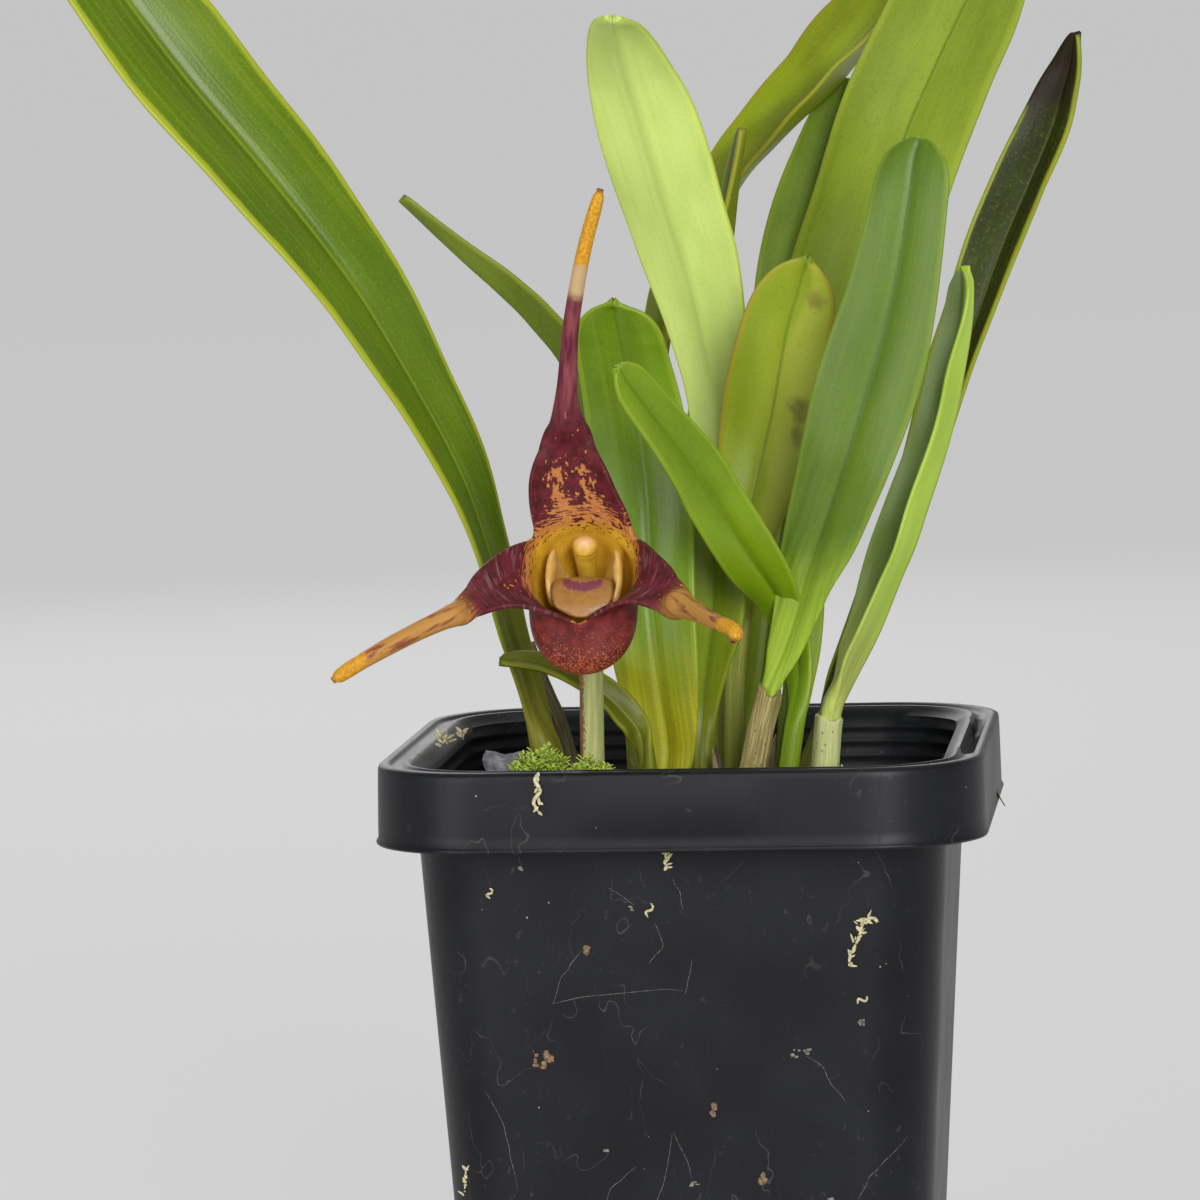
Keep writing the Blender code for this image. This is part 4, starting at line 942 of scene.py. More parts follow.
def cup_point(angle, t):
    """The sepals' cup: t is 0 at the ovary and 1 at the rim, and runs past it as a flare."""
    grow = math.sin(min(t, 1) * math.pi / 2) ** 0.75
    flare = 1.2 * max(0.0, t - 1) + 1.0
    radius = CUP_RIM_RADIUS * (0.2 * ease(t * 12) + 0.8 * grow) * flare
    below = max(0.0, -math.sin(angle))
    radius *= 1 + CHIN_SWELL * below ** 2.3 * math.sin(math.pi * min(1, 0.12 + t * 0.88)) ** 0.8
    corner = min(abs(math.degrees(angle) - seam) for seam in SEPALS["dorsal"]["sector"])
    radius *= 1 + CORNER_FLARE * bell(corner, 17) * ease(t * 5 - 4)
    height = CUP_DEPTH * (t - 1) * (1 if t < 1 else 0.5)
    height -= 0.5 * below ** 2 * t
    return CUP_CENTRE + (RIGHT * math.cos(angle) + ABOVE * math.sin(angle)) * radius + OUT * height


def in_cup(x, y, z):
    """A point in the flower's own frame: right, up, and out of the mouth from the rim's plane."""
    return CUP_CENTRE + RIGHT * x + ABOVE * y + OUT * z


def lobe_rows(spec):
    """Centre, width and row number along a sepal's lobe; row -1 lies on the cup's rim."""
    middle = math.radians(sum(spec["sector"]) / 2)
    line = [Vector(p) for p in spec["line"]]
    start = Vector((*cup_point(middle, 1), line[0].w * 1.1))
    pts = [2 * start - line[0], start, *line, 2 * line[-1] - line[-2]]
    rows = []
    for k, four in enumerate(zip(pts, pts[1:], pts[2:], pts[3:])):
        rows += [(curve_at(*four, i / LOBE_ROWS_EACH), k - 1 + i / LOBE_ROWS_EACH)
                 for i in range(LOBE_ROWS_EACH)]
    rows.append((pts[-2], len(line) - 1.0))
    return rows[1:]


def sepal_grid(spec):
    """Rows of points over one sepal, with its marks: its part of the cup, its lobe and its tail."""
    start, end = (math.radians(a) for a in spec["sector"])
    middle, spread = (start + end) / 2, (end - start) / 2
    columns = [-1 + 2 * c / (SEPAL_COLUMNS - 1) for c in range(SEPAL_COLUMNS)]
    rows, marks = [], []
    for r in range(1, CUP_ROWS + 1):
        t = r / CUP_ROWS
        rows.append([cup_point(middle - q * spread, t) for q in columns])
        marks.append([(t, q, (middle - q * spread) * CUP_RIM_RADIUS, CUP_DEPTH * t, FAR_FROM_TIP)
                      for q in columns])
    lobe = lobe_rows(spec)
    across = (RIGHT * math.sin(middle) - ABOVE * math.cos(middle)).normalized()
    ways = tangents([cup_point(middle, 1), *(p.xyz for p, _ in lobe)])[1:]
    total = path_length([p for p, _ in lobe])
    run, before, inward = 0.0, lobe[0][0].xyz, OUT
    for (p, row_number), along in zip(lobe, ways):
        run += (p.xyz - before).length
        before = p.xyz
        side = (across - along * across.dot(along)).normalized()
        face = along.cross(side)
        inward = -face if face.dot(inward) < 0 else face
        to_tip = total - run
        rolled = ease((row_number - 2) / 3)
        bend = math.radians(mix(LOBE_BEND, TAIL_BEND, rolled))
        blunt = ease(to_tip / 0.9) ** 0.5 if to_tip < 0.9 else 1.0
        half = max(0.12, p.w / 2 * blunt - 0.5 * SEPAL_THICKNESS * rolled)
        turn = max(abs(bend), 0.02)
        curl = half / math.sin(min(turn, math.pi / 2))
        bow = inward * math.copysign(curl, bend)
        blend = ease((row_number + 1) / 2)
        row = []
        for q in columns:
            strip = p.xyz + side * (curl * math.sin(turn * q)) + bow * (1 - math.cos(turn * q))
            strip += inward * (0.8 * half * ease(bend / math.radians(TAIL_BEND)))
            flare = cup_point(middle - q * spread, 1 + 0.15 * min(1.0, row_number + 1))
            row.append(flare.lerp(strip, blend))
        rows.append(row)
        marks.append([(1 + run / total, q, mix((middle - q * spread) * CUP_RIM_RADIUS, -q * half, blend),
                       CUP_DEPTH + run, to_tip) for q in columns])
    return rows, marks


def wine_inside(kind, reach, q, run):
    """How much wine colour covers the sepals' inner face at a place, from 0 to 1."""
    beyond = run - CUP_DEPTH
    if beyond <= 0:
        return 0.30 * ease((reach - 0.74) / 0.2)
    if kind == "dorsal":
        solid = ease((beyond - 5.0) / 4.0)
        pale_stripes = bell(abs(q) - 0.32, 0.15) * (1 - ease((beyond - 6.0) / 3.5))
        edge = ease((abs(q) - 0.45) / 0.45)
        cover = 0.38 + 0.40 * ease(beyond / 4) + 0.20 * edge - 0.40 * pale_stripes * ease(beyond / 3)
        return mix(cover, 1.0, solid)
    low_side = q if kind == "left" else -q
    collar = ease((-low_side - 0.15) / 0.45)
    inner_patch = bell(low_side - 0.1, 0.35) * bell(beyond - 2.6, 1.6)
    cover = 0.46 + 0.62 * ease(beyond / 2.4) + 0.40 * collar - 0.34 * inner_patch
    far = ease((beyond - 5.5) / 4.0)
    return mix(cover, 0.50, far)


def sepal_marks(kind, grid_marks):
    """The marks of one sepal's points, as its two finishes read them."""
    return [dict(reach=reach, lie=(sideways, run, 0.0), to_tip=to_tip, wine=wine_inside(kind, reach, q, run),
                 dorsal=1.0 if kind == "dorsal" else 0.0)
            for row in grid_marks for reach, q, sideways, run, to_tip in row]


SEPAL_FLESH = dict(Specular_IOR_Level=0.11, Subsurface_Weight=0.05, Subsurface_Radius=(0.8, 0.25, 0.15),
                   Subsurface_Scale=0.001)


def tail_colours(f, lie, to_tip, dorsal, streaks, grains):
    """The tails: wine or tan with streaks, a whitish band on the upper one, and orange tips."""
    wine = f.tint(f.band(streaks, 0.36, 0.62), (0.085, 0.011, 0.024), (0.20, 0.048, 0.058))
    tan = f.tint(f.band(streaks, 0.49, 0.38), (0.38, 0.19, 0.045), (0.20, 0.06, 0.03))
    tail = f.tint(dorsal, tan, wine)
    ragged = to_tip + (f.cloud(lie, (0.5, 1.6, 1.0)) - 0.5) * 2.4
    white = f.band(ragged, 13.5, 12.0) * dorsal
    tail = f.tint(white * 0.8, tail, (0.50, 0.36, 0.18))
    orange_start = 4.2 + 4.8 * dorsal
    orange = f.band(ragged - orange_start, 0.9, -0.6)
    gold = f.tint(f.band(grains, 0.35, 0.7), (0.42, 0.19, 0.012), (0.60, 0.32, 0.03))
    tail = f.tint(orange, tail, gold)
    tail = f.tint(f.band(to_tip, 0.7, 0.1) * 0.8, tail, (0.16, 0.07, 0.02))
    return tail


def inner_sepal_finish():
    """The sepals' inner face: gold throat, tan rim with wine dashes, wine lobes, streaked tails."""
    f = Finish("sepal_inner_skin", **SEPAL_FLESH)
    reach, wine, dorsal, to_tip = (f.mark(key) for key in ("reach", "wine", "dorsal", "to_tip"))
    lie, place = f.lie("lie"), f.place()
    grains = f.cloud(place, 0.32, 3.0, 0.6)
    streaks = f.cloud(lie, (0.34, 7.0, 1.0), 3.0, 0.6)
    gold = f.tint(f.band(f.cloud(place, 2.5), 0.35, 0.65), (0.50, 0.27, 0.018), (0.64, 0.37, 0.030))
    tan = f.tint(f.band(grains, 0.3, 0.7), (0.33, 0.115, 0.030), (0.45, 0.18, 0.050))
    ground = f.tint(f.band(reach, 0.86, 1.03), gold, tan)
    dashes = f.cloud(lie, (0.85, 0.30, 1.0), 2.0, 0.5)
    spots = f.cloud(place, (0.5, 0.5, 0.75), 2.0, 0.5)
    drift = f.band(reach, 1.0, 1.14)
    field = f.node("Mix", {"data_type": "FLOAT"}, {0: drift, 2: dashes, 3: spots})
    cover = f.band((field - 0.5) * 2.4 + wine, 0.44, 0.56)
    deep = f.tint(f.band(f.cloud(place, 1.1, 3.0), 0.34, 0.66), (0.036, 0.0015, 0.008),
                  (0.092, 0.005, 0.020))
    # Paler grains over the deep wine are painted highlight specks.
    deep = f.tint(f.band(grains, 0.56, 0.74) * 0.35, deep, (0.16, 0.022, 0.045))
    skin = f.tint(cover * 0.94, ground, deep)
    rows = f.band(f.cloud(lie, (3.2, 0.26, 1.0), 2.0), 0.50, 0.66)
    collar = f.band(reach, 1.0, 1.05) * f.band(reach, 1.3, 1.18) * (1 - dorsal)
    skin = f.tint(rows * collar * f.band(wine, 0.8, 1.0) * 0.5, skin, (0.19, 0.11, 0.12))
    tail = tail_colours(f, lie, to_tip, dorsal, streaks, grains)
    skin = f.tint(f.band(reach, TAIL_COLOURS_FROM, TAIL_COLOURS_FULL), skin, tail)
    f.relief(grains * 0.6 + streaks * 0.5, 0.07)
    return f.done(skin, 0.40 + 0.25 * (grains - 0.5) + 0.08 * cover)


def outer_sepal_finish():
    """The sepals' outer face: orange-tan chin netted with maroon, darker towards the rim."""
    f = Finish("sepal_outer_skin", **SEPAL_FLESH)
    reach, dorsal, to_tip = f.mark("reach"), f.mark("dorsal"), f.mark("to_tip")
    lie, place = f.lie("lie"), f.place()
    grains = f.cloud(place, 0.3, 3.0, 0.6)
    streaks = f.cloud(lie, (0.34, 7.0, 1.0), 3.0, 0.6)
    tan = f.tint(f.band(grains, 0.3, 0.7), (0.26, 0.065, 0.016), (0.36, 0.105, 0.028))
    net = f.cloud(place, (0.27, 0.27, 0.21), 2.0, 0.55)
    height = f.part(place, "Z")
    shade = 0.50 + 0.40 * f.band(height, 86.5, 93.0) + 0.25 * f.band(reach, 1.0, 1.1)
    cover = f.band((net - 0.5) * 2.0 + shade, 0.34, 0.64)
    maroon = f.tint(f.band(f.cloud(place, 1.2), 0.35, 0.65), (0.052, 0.004, 0.009), (0.125, 0.011, 0.018))
    skin = f.tint(cover * 0.9, tan, maroon)
    tail = tail_colours(f, lie, to_tip, dorsal, streaks, grains)
    skin = f.tint(f.band(reach, TAIL_COLOURS_FROM, TAIL_COLOURS_FULL), skin, tail)
    f.relief(grains * 0.6 + net * 0.5, 0.07)
    return f.done(skin, 0.38 + 0.25 * (grains - 0.5))


def sepals():
    """The three fused sepals: one cup with a chin, and three lobes that roll up into tails."""
    verts, faces, index = [], [], {}
    marks = dict(reach=[], lie=[], to_tip=[], wine=[], dorsal=[])

    def vertex(p, values):
        key = tuple(round(c, 3) for c in p)
        if key not in index:
            index[key] = len(verts)
            verts.append(p)
            for name, value in values.items():
                marks[name].append(value)
        return index[key]

    for kind, spec in SEPALS.items():
        rows, grid_marks = sepal_grid(spec)
        kept = iter(sepal_marks(kind, grid_marks))
        grid = [[vertex(p, next(kept)) for p in row] for row in rows]
        for low, high in zip(grid, grid[1:]):
            for c in range(SEPAL_COLUMNS - 1):
                face = (low[c], low[c + 1], high[c + 1], high[c])
                if len(set(face)) == 4:
                    faces.append(face)
    shell = piece("sepals_skin", verts, faces, [inner_sepal_finish(), outer_sepal_finish()],
                  "sepal_wine", ["sepals"], marks)
    soften_rim(shell)
    face_the_mouth(shell)
    thicken = shell.modifiers.new("thickness", "SOLIDIFY")
    thicken.thickness = SEPAL_THICKNESS * MM
    thicken.offset = 0
    thicken.material_offset = 1
    thicken.material_offset_rim = 0
    apply_modifiers(shell)
    shell.data.shade_smooth()
    return shell


def soften_rim(shell):
    """Rounds the turn from the cup into the lobes, and the corners between the lobes."""
    sheet = bmesh.new()
    sheet.from_mesh(shell.data)
    reach = sheet.verts.layers.float["reach"]
    near = [v for v in sheet.verts if SOFTENED_FROM < v[reach] < SOFTENED_TO]
    before = [v.co.copy() for v in near]
    for _ in range(RIM_ROUNDS):
        bmesh.ops.smooth_vert(sheet, verts=near, factor=0.5, use_axis_x=True, use_axis_y=True,
                              use_axis_z=True)
    for v, start in zip(near, before):
        fade = ease((v[reach] - SOFTENED_FROM - 0.02) / 0.08) * ease((SOFTENED_TO - v[reach]) / 0.28)
        v.co = start.lerp(v.co, fade)
    sheet.to_mesh(shell.data)
    sheet.free()


def face_the_mouth(shell):
    """Turns the sheet so that its front is the sepals' inner face."""
    cup = [face for face in shell.data.polygons
           if (face.center / MM - in_cup(0, -1, -5)).length < 8]
    votes = sum(1 if face.normal.dot(in_cup(0, -1, -4) * MM - face.center) > 0 else -1 for face in cup)
    if votes < 0:
        shell.data.flip_normals()


def fleshy_finish(name, light, dark, crescent=False, glow=None):
    """Smooth flesh of the flower's inner parts, with an optional wine crescent or a pale tip."""
    f = Finish(name, Specular_IOR_Level=0.5, Subsurface_Weight=0.08,
               Subsurface_Radius=(0.9, 0.5, 0.15), Subsurface_Scale=0.001)
    place = f.place()
    grains = f.cloud(place, 0.3, 3.0, 0.6)
    skin = f.tint(f.band(f.cloud(place, 1.6), 0.35, 0.65), dark, light)
    skin = f.tint(f.band(grains, 0.5, 0.75) * 0.3, skin, tuple(min(1, c * 1.3) for c in light))
    if crescent:
        lie = f.lie("lie")
        bow = f.part(lie, "Y") + 0.16 * f.part(lie, "X") * f.part(lie, "X")
        ragged = f.cloud(place, (0.35, 0.5, 0.35), 3.0, 0.7)
        stroke = f.band(abs(bow - 7.9) + (ragged - 0.5) * 1.5, 0.82, 0.45)
        stroke = stroke * f.band(abs(f.part(lie, "X")), 2.5, 2.0)
        skin = f.tint(stroke * 0.95, skin, (0.15, 0.018, 0.045))
    if glow:
        centre, size, colour = glow
        skin = f.tint(f.band(f.near(place, centre), size, size * 0.3), skin, colour)
    f.relief(grains, 0.04)
    return f.done(skin, 0.34 + 0.2 * (grains - 0.5))


def petals():
    """Two straps beside the column, standing on edge, each with a thickened pale keel."""
    finish = fleshy_finish("petal_flesh", (0.60, 0.36, 0.11), (0.50, 0.28, 0.06))
    line = ((1.9, 0.4, -7.2, 0.9), (3.0, 0.2, -5.0, 2.0), (3.8, -0.2, -2.8, 3.3), (4.1, -0.4, -0.9, 3.8))
    for name, side in (("petal_left", -1), ("petal_right", 1)):
        path = smooth_path([(*in_cup(side * x, y, z), half) for x, y, z, half in line], PETAL_ROWS)
        rings = []
        for k, (p, along) in enumerate(zip(path, tangents([q.xyz for q in path]))):
            across = (ABOVE - along * along.dot(ABOVE)).normalized()
            thin = across.cross(along) * side
            blunt = math.sqrt(max(0.04, 1 - max(0.0, (k - PETAL_ROWS + 6) / 5.2) ** 2))
            ring = []
            for i in range(24):
                turn = 2 * math.pi * i / 24
                reach = math.copysign(abs(math.sin(turn)) ** 0.75, math.sin(turn))
                keel = 0.34 * bell(reach - 0.2, 0.35) * (math.cos(turn) < 0)
                wide = p.w * blunt * reach
                flat = math.copysign(abs(math.cos(turn)) ** 0.5, math.cos(turn))
                deep = (0.46 + keel) * blunt * flat - 0.5 * blunt * reach ** 2
                ring.append(p.xyz + across * wide + thin * deep)
            rings.append(ring)
        piece(name + "_flesh", *ring_body(rings), [finish], "flower_centre", [name])


def lip():
    """The lip: a fleshy tongue with raised sides that turns down at its front."""
    finish = fleshy_finish("lip_flesh", (0.31, 0.145, 0.03), (0.25, 0.105, 0.02), crescent=True)
    halves = (0.8, 1.1, 1.6, 2.2, 2.7, 3.0, 3.4, 3.6, 3.5, 3.1, 2.2)
    line = ((-1.6, -7.2), (-1.2, -5), (-0.6, -2.9), (-1.1, -1.1), (-2.8, -0.4), (-4.8, -0.4), (-6.0, -0.8))
    path = smooth_path([in_cup(0, y, z) for y, z in line], LIP_ROWS)
    ways = tangents(path)
    length = path_length(path)
    steps = [-1 + k / 10 for k in range(21)]
    rings, lies = [], []
    for k, (p, along) in enumerate(zip(path, ways)):
        share = k / (LIP_ROWS - 1)
        spot = share * (len(halves) - 1)
        low = min(len(halves) - 2, int(spot))
        half = mix(halves[low], halves[low + 1], spot - low)
        half *= math.sqrt(max(0.05, 1 - max(0.0, (k - LIP_ROWS + 9) / 8.6) ** 2))
        up = RIGHT.cross(along).normalized()
        ring = []
        for q in steps:
            rise = 0.36 + 0.16 * bell(abs(q) - 0.62, 0.16) - 0.10 * bell(q, 0.2)
            rise *= math.sqrt(max(0.0, 1 - q ** 4))
            ring.append(p + RIGHT * (half * q) + up * rise)
            lies.append((half * q, length * share, 0.0))
        for q in reversed(steps[1:-1]):
            ring.append(p + RIGHT * (half * q) - up * (0.42 * math.sqrt(1 - q * q)))
            lies.append((half * q, length * share, 5.0))
        rings.append(ring)
    piece("lip_flesh_body", *ring_body(rings), [finish], "flower_centre", ["lip"], dict(lie=lies))


def column():
    """The column: a stout stub over the lip, ending in the rounded anther cap."""
    cap = in_cup(0, 3.9, -0.5)
    finish = fleshy_finish("column_flesh", (0.56, 0.34, 0.035), (0.46, 0.26, 0.02),
                           glow=(cap, 1.6, (0.70, 0.40, 0.17)))
    line = ((1.5, -7.7, 0.8), (2.4, -5, 1.1), (3.3, -2.8, 1.35), (3.6, -1.7, 1.5), (3.6, -0.9, 1.3),
            (3.5, -0.25, 0.5))
    path = smooth_path([(*in_cup(0, y, z), radius) for y, z, radius in line], COLUMN_ROWS)
    rings = []
    cap_row = COLUMN_ROWS - 9
    for k, (p, along) in enumerate(zip(path, tangents([q.xyz for q in path]))):
        blunt = math.sqrt(max(0.01, 1 - max(0.0, (k - COLUMN_ROWS + 7) / 6.02) ** 2))
        reach = max(p.w, 0.9 if k >= cap_row else 0) * blunt
        hood = 1 - 0.10 * bell(k - cap_row, 1.4)

        def outline(turn):
            return reach * hood * (1 - 0.18 * bell(math.sin(turn) - 1, 0.4))
        rings.append(circle(p.xyz, along, outline, 28, ABOVE))
    piece("column_flesh_body", *ring_body(rings), [finish], "flower_centre", ["column"])


# Growing medium, moss and grit

def rounded_square(half, corner, z, steps=CORNER_STEPS, side_steps=SIDE_STEPS):
    """One ring of the pot: four arcs joined by straight sides with points along them."""
    ring = []
    corner = min(corner, half * 0.999)
    for k, (sx, sy) in enumerate([(1, -1), (1, 1), (-1, 1), (-1, -1)]):
        arc = []
        for i in range(steps + 1):
            a = (k - 1) * math.pi / 2 + i * math.pi / 2 / steps
            arc.append(Vector((sx * (half - corner) + corner * math.cos(a),
                               sy * (half - corner) + corner * math.sin(a), z)))
        if ring:
            ring += [ring[-1].lerp(arc[0], i / side_steps) for i in range(1, side_steps)]
        ring += arc
    ring += [ring[-1].lerp(ring[0], i / side_steps) for i in range(1, side_steps)]
    return ring


def body_half(z, inset=0.0):
    """Half the width of the pot's tapered body at a height."""
    return mix(BASE_HALF, BODY_TOP_HALF, z / POT_HEIGHT) - inset


def crumb_height(x, y):
    """The medium's surface with its crumbs."""
    rough = 0.55 * lumps((x, y, 0), 3.2) + 0.35 * lumps((x, y, 7), 1.4) + 0.18 * lumps((x, y, 3), 0.7)
    return medium_height(x, y) + rough - 0.15


def mix_finish():
    """Damp bark and peat: dark brown crumbs with paler fibres and a green film in places."""
    f = Finish("damp_growing_mix", Specular_IOR_Level=0.3)
    place = f.place()
    crumbs = f.cells(place, 1.1)
    grains = f.cloud(place, 0.5, 4.0, 0.65)
    soil = f.tint(f.band(f.cloud(place, 3.5, 3.0), 0.35, 0.65), (0.018, 0.012, 0.007), (0.07, 0.042, 0.02))
    soil = f.tint(f.band(grains, 0.56, 0.74) * 0.7, soil, (0.15, 0.10, 0.055))
    film = f.band(f.cloud(place, 7.0, 3.0), 0.56, 0.68)
    soil = f.tint(film * 0.5, soil, (0.07, 0.10, 0.02))
    f.relief(grains * 0.8 + crumbs, 0.45)
    return f.done(soil, 0.78 + 0.3 * (grains - 0.5))


def bark_finish():
    """Chips of bark: red-brown, banded along the grain, some chips paler than others."""
    f = Finish("bark_chips", Specular_IOR_Level=0.3)
    tone = f.mark("tone")
    bands = f.cloud(f.lie("lie"), (0.35, 3.0, 0.9), 3.0, 0.6)
    skin = f.tint(f.band(bands, 0.35, 0.65), (0.035, 0.018, 0.009), (0.13, 0.065, 0.03))
    skin = f.tint(tone * 0.6, skin, (0.20, 0.13, 0.075))
    f.relief(bands, 0.2)
    return f.done(skin, 0.75 + 0.3 * (bands - 0.5))


def growing_medium():
    """The block of mix that fills the pot, crumbly on top."""
    rings = []
    for z in (BASE_THICKNESS + 0.3, 30, 55, MEDIUM_TOP - 3):
        rings.append(rounded_square(body_half(z, WALL + 0.3), BODY_CORNER, z, 10, 14))
    half = body_half(MEDIUM_TOP, WALL + 0.3)
    shares = [1 - k / 44 for k in range(44)]
    for share in shares:
        flat = rounded_square(half * share, BODY_CORNER * share, 0, 10, 14)
        rings.append([Vector((p.x, p.y, crumb_height(p.x, p.y) - 1.2 * ease(share * 4 - 3)))
                      for p in flat])
    piece("growing_mix_block", *ring_body(rings), [mix_finish()], "growing_mix", ["growing_medium"])


def crumb(size, seed, roughness, detail=2):
    """Points and faces of one lumpy chip about its own middle, with the given three sizes."""
    ball = bmesh.new()
    bmesh.ops.create_icosphere(ball, subdivisions=detail, radius=1.0)
    verts = []
    for v in ball.verts:
        p = v.co.copy()
        blocky = 1 / max(abs(p.x), abs(p.y), abs(p.z)) ** 0.75
        p *= blocky * (1 + roughness * lumps(p * 1.6, 1.0, seed))
        verts.append(Vector((p.x * size[0], p.y * size[1], p.z * size[2])) * 0.5)
    faces = [tuple(v.index for v in face.verts) for face in ball.faces]
    ball.free()
    return verts, faces


def stems_at():
    """Where stems come out of the medium, with their radii."""
    feet = [(*spec["line"][0][:2], spec["stem"]) for spec in LEAVES.values()]
    return feet + [(*line[1][:2], line[1][3]) for line in (STALK, OLD_STALK)]


def clear_of_stems(x, y, room):
    """Whether a place on the medium is at least this far from every stem."""
    return all(math.hypot(x - sx, y - sy) > radius + room for sx, sy, radius in stems_at())


def bark():
    """Bark chips strewn over the medium, half sunk in it."""
    rng = random.Random(11)
    heap = Heap("tone", "lie")
    chips = 0
    while chips < BARK_CHIPS:
        x, y = rng.uniform(-STREWN_HALF, STREWN_HALF), rng.uniform(-STREWN_HALF, STREWN_HALF)
        size = (rng.uniform(2.6, 6.0), rng.uniform(1.6, 3.4), rng.uniform(0.9, 1.7))
        front_left = x < -14 and y < -10
        if front_left or not clear_of_stems(x, y, size[0] * 0.45):
            continue
        turn = Matrix.Rotation(rng.uniform(0, math.pi), 3, "Z") @ Matrix.Rotation(
            rng.uniform(-0.4, 0.4), 3, "X") @ Matrix.Rotation(rng.uniform(-0.3, 0.3), 3, "Y")
        verts, faces = crumb(size, rng.uniform(0, 50), 0.3)
        seat = Vector((x, y, crumb_height(x, y) + size[2] * 0.12))
        tone = rng.random() ** 2
        heap.add([turn @ v + seat for v in verts], faces, tone=tone,
                 lie=[tuple(v + Vector((0, 0, x * 9))) for v in verts])
        chips += 1
    heap.make("bark_chips_on_top", [bark_finish()], "growing_mix")


def strand(heap, points, radius, sides, count, **marks):
    """A thin strand along points, added to a heap with a taper at both ends."""
    path = [p.xyz for p in smooth_path([(*p, 0) for p in points], count)]
    rings = []
    for k, (p, along) in enumerate(zip(path, tangents(path))):
        taper = math.sqrt(max(0.08, 1 - (2 * k / (count - 1) - 1) ** 4))
        up = UP if abs(along.z) < 0.9 else Vector((0, -1, 0))
        rings.append(circle(p, along, radius * taper, sides, up))
    heap.rings(rings, **marks)


def fibre_finish():
    """Dead roots and moss fibres: brown to straw, by strand."""
    f = Finish("dead_fibres", Specular_IOR_Level=0.25)
    place, tone = f.place(), f.mark("tone")
    grains = f.cloud(place, 0.4, 3.0)
    skin = f.tint(tone, (0.05, 0.028, 0.014), (0.34, 0.26, 0.14))
    skin = f.tint(f.band(grains, 0.5, 0.7) * 0.4, skin, (0.12, 0.08, 0.04))
    f.relief(grains, 0.08)
    return f.done(skin, 0.8 + 0.2 * (grains - 0.5))


def fibres():
    """Dead roots and moss fibres lying over the medium."""
    rng = random.Random(5)
    heap = Heap("tone")
    for _ in range(DEAD_FIBRES):
        x, y, way = rng.uniform(-26, 26), rng.uniform(-26, 26), rng.uniform(0, 2 * math.pi)
        points = []
        for k in range(6):
            inside = [max(-STREWN_HALF, min(STREWN_HALF, along)) for along in (x, y)]
            lift = 0.35 + 0.5 * rng.random() * math.sin(math.pi * k / 5)
            points.append((*inside, crumb_height(*inside) + lift))
            way += rng.uniform(-0.7, 0.7)
            step = rng.uniform(1.2, 2.6)
            x, y = x + math.cos(way) * step, y + math.sin(way) * step
        strand(heap, points, rng.uniform(0.09, 0.24), 5, 14, tone=rng.random())
    heap.make("fibres_on_top", [fibre_finish()], "growing_mix")


def moss_finish():
    """Leafy moss: yellow-green, brighter at the tips, brownish at the foot."""
    f = Finish("live_moss", Specular_IOR_Level=0.3)
    place, tip, tone = f.place(), f.mark("tip"), f.mark("tone")
    grains = f.cloud(place, 0.35, 3.0)
    skin = f.tint(f.band(tip, 0.0, 0.6), (0.07, 0.09, 0.012), (0.31, 0.45, 0.035))
    skin = f.tint(f.band(tip, 0.5, 1.0) * 0.8, skin, (0.60, 0.72, 0.13))
    skin = f.tint(tone * 0.5, skin, (0.36, 0.36, 0.10))
    skin = f.tint(f.band(grains, 0.5, 0.7) * 0.25, skin, (0.10, 0.16, 0.02))
    f.relief(grains, 0.05)
    return f.done(skin, 0.55 + 0.2 * (grains - 0.5))


def moss_leaf(heap, foot, way, length, width, curl, tone):
    """One pointed moss leaf, keeled along its middle and curled back at its tip."""
    side = way.cross(UP).normalized()
    if side.length < 0.5:
        side = Vector((1, 0, 0))
    face = side.cross(way).normalized()
    rings, tips = [], []
    for share, wide in ((0, 0.35), (0.25, 0.9), (0.5, 1.0), (0.75, 0.7), (1.0, 0.10)):
        spot = foot + way * (length * share) - face * (curl * length * share * share)
        half = width * wide / 2
        rings.append([spot - side * half, spot - face * 0.05 - side * half * 0.4, spot - face * 0.09,
                      spot - face * 0.05 + side * half * 0.4, spot + side * half, spot + face * 0.03])
        tips += [0.35 + 0.65 * share] * 6
    heap.rings(rings, tip=tips, tone=tone)


def moss_sprig(heap, foot, way, height, leaves, rng):
    """A short leafy stem of moss with its leaves set round it in a spiral."""
    strand(heap, [foot, foot + way * height * 0.5, foot + way * height], 0.14, 5, 5, tip=0.2, tone=0.0)
    side = way.cross(Vector((0.3, 1, 0.2))).normalized()
    other = side.cross(way)
    tone = rng.random() ** 2
    for k in range(leaves):
        turn = k * 2.4
        share = (k + 0.6) / leaves
        out = side * math.cos(turn) + other * math.sin(turn)
        rise = mix(0.35, 1.4, share)
        direction = (out + way * rise).normalized()
        length = rng.uniform(0.95, 1.5) * mix(1.0, 0.75, share)
        width = rng.uniform(0.42, 0.6)
        moss_leaf(heap, foot + way * height * share, direction, length, width, rng.uniform(0.05, 0.3), tone)


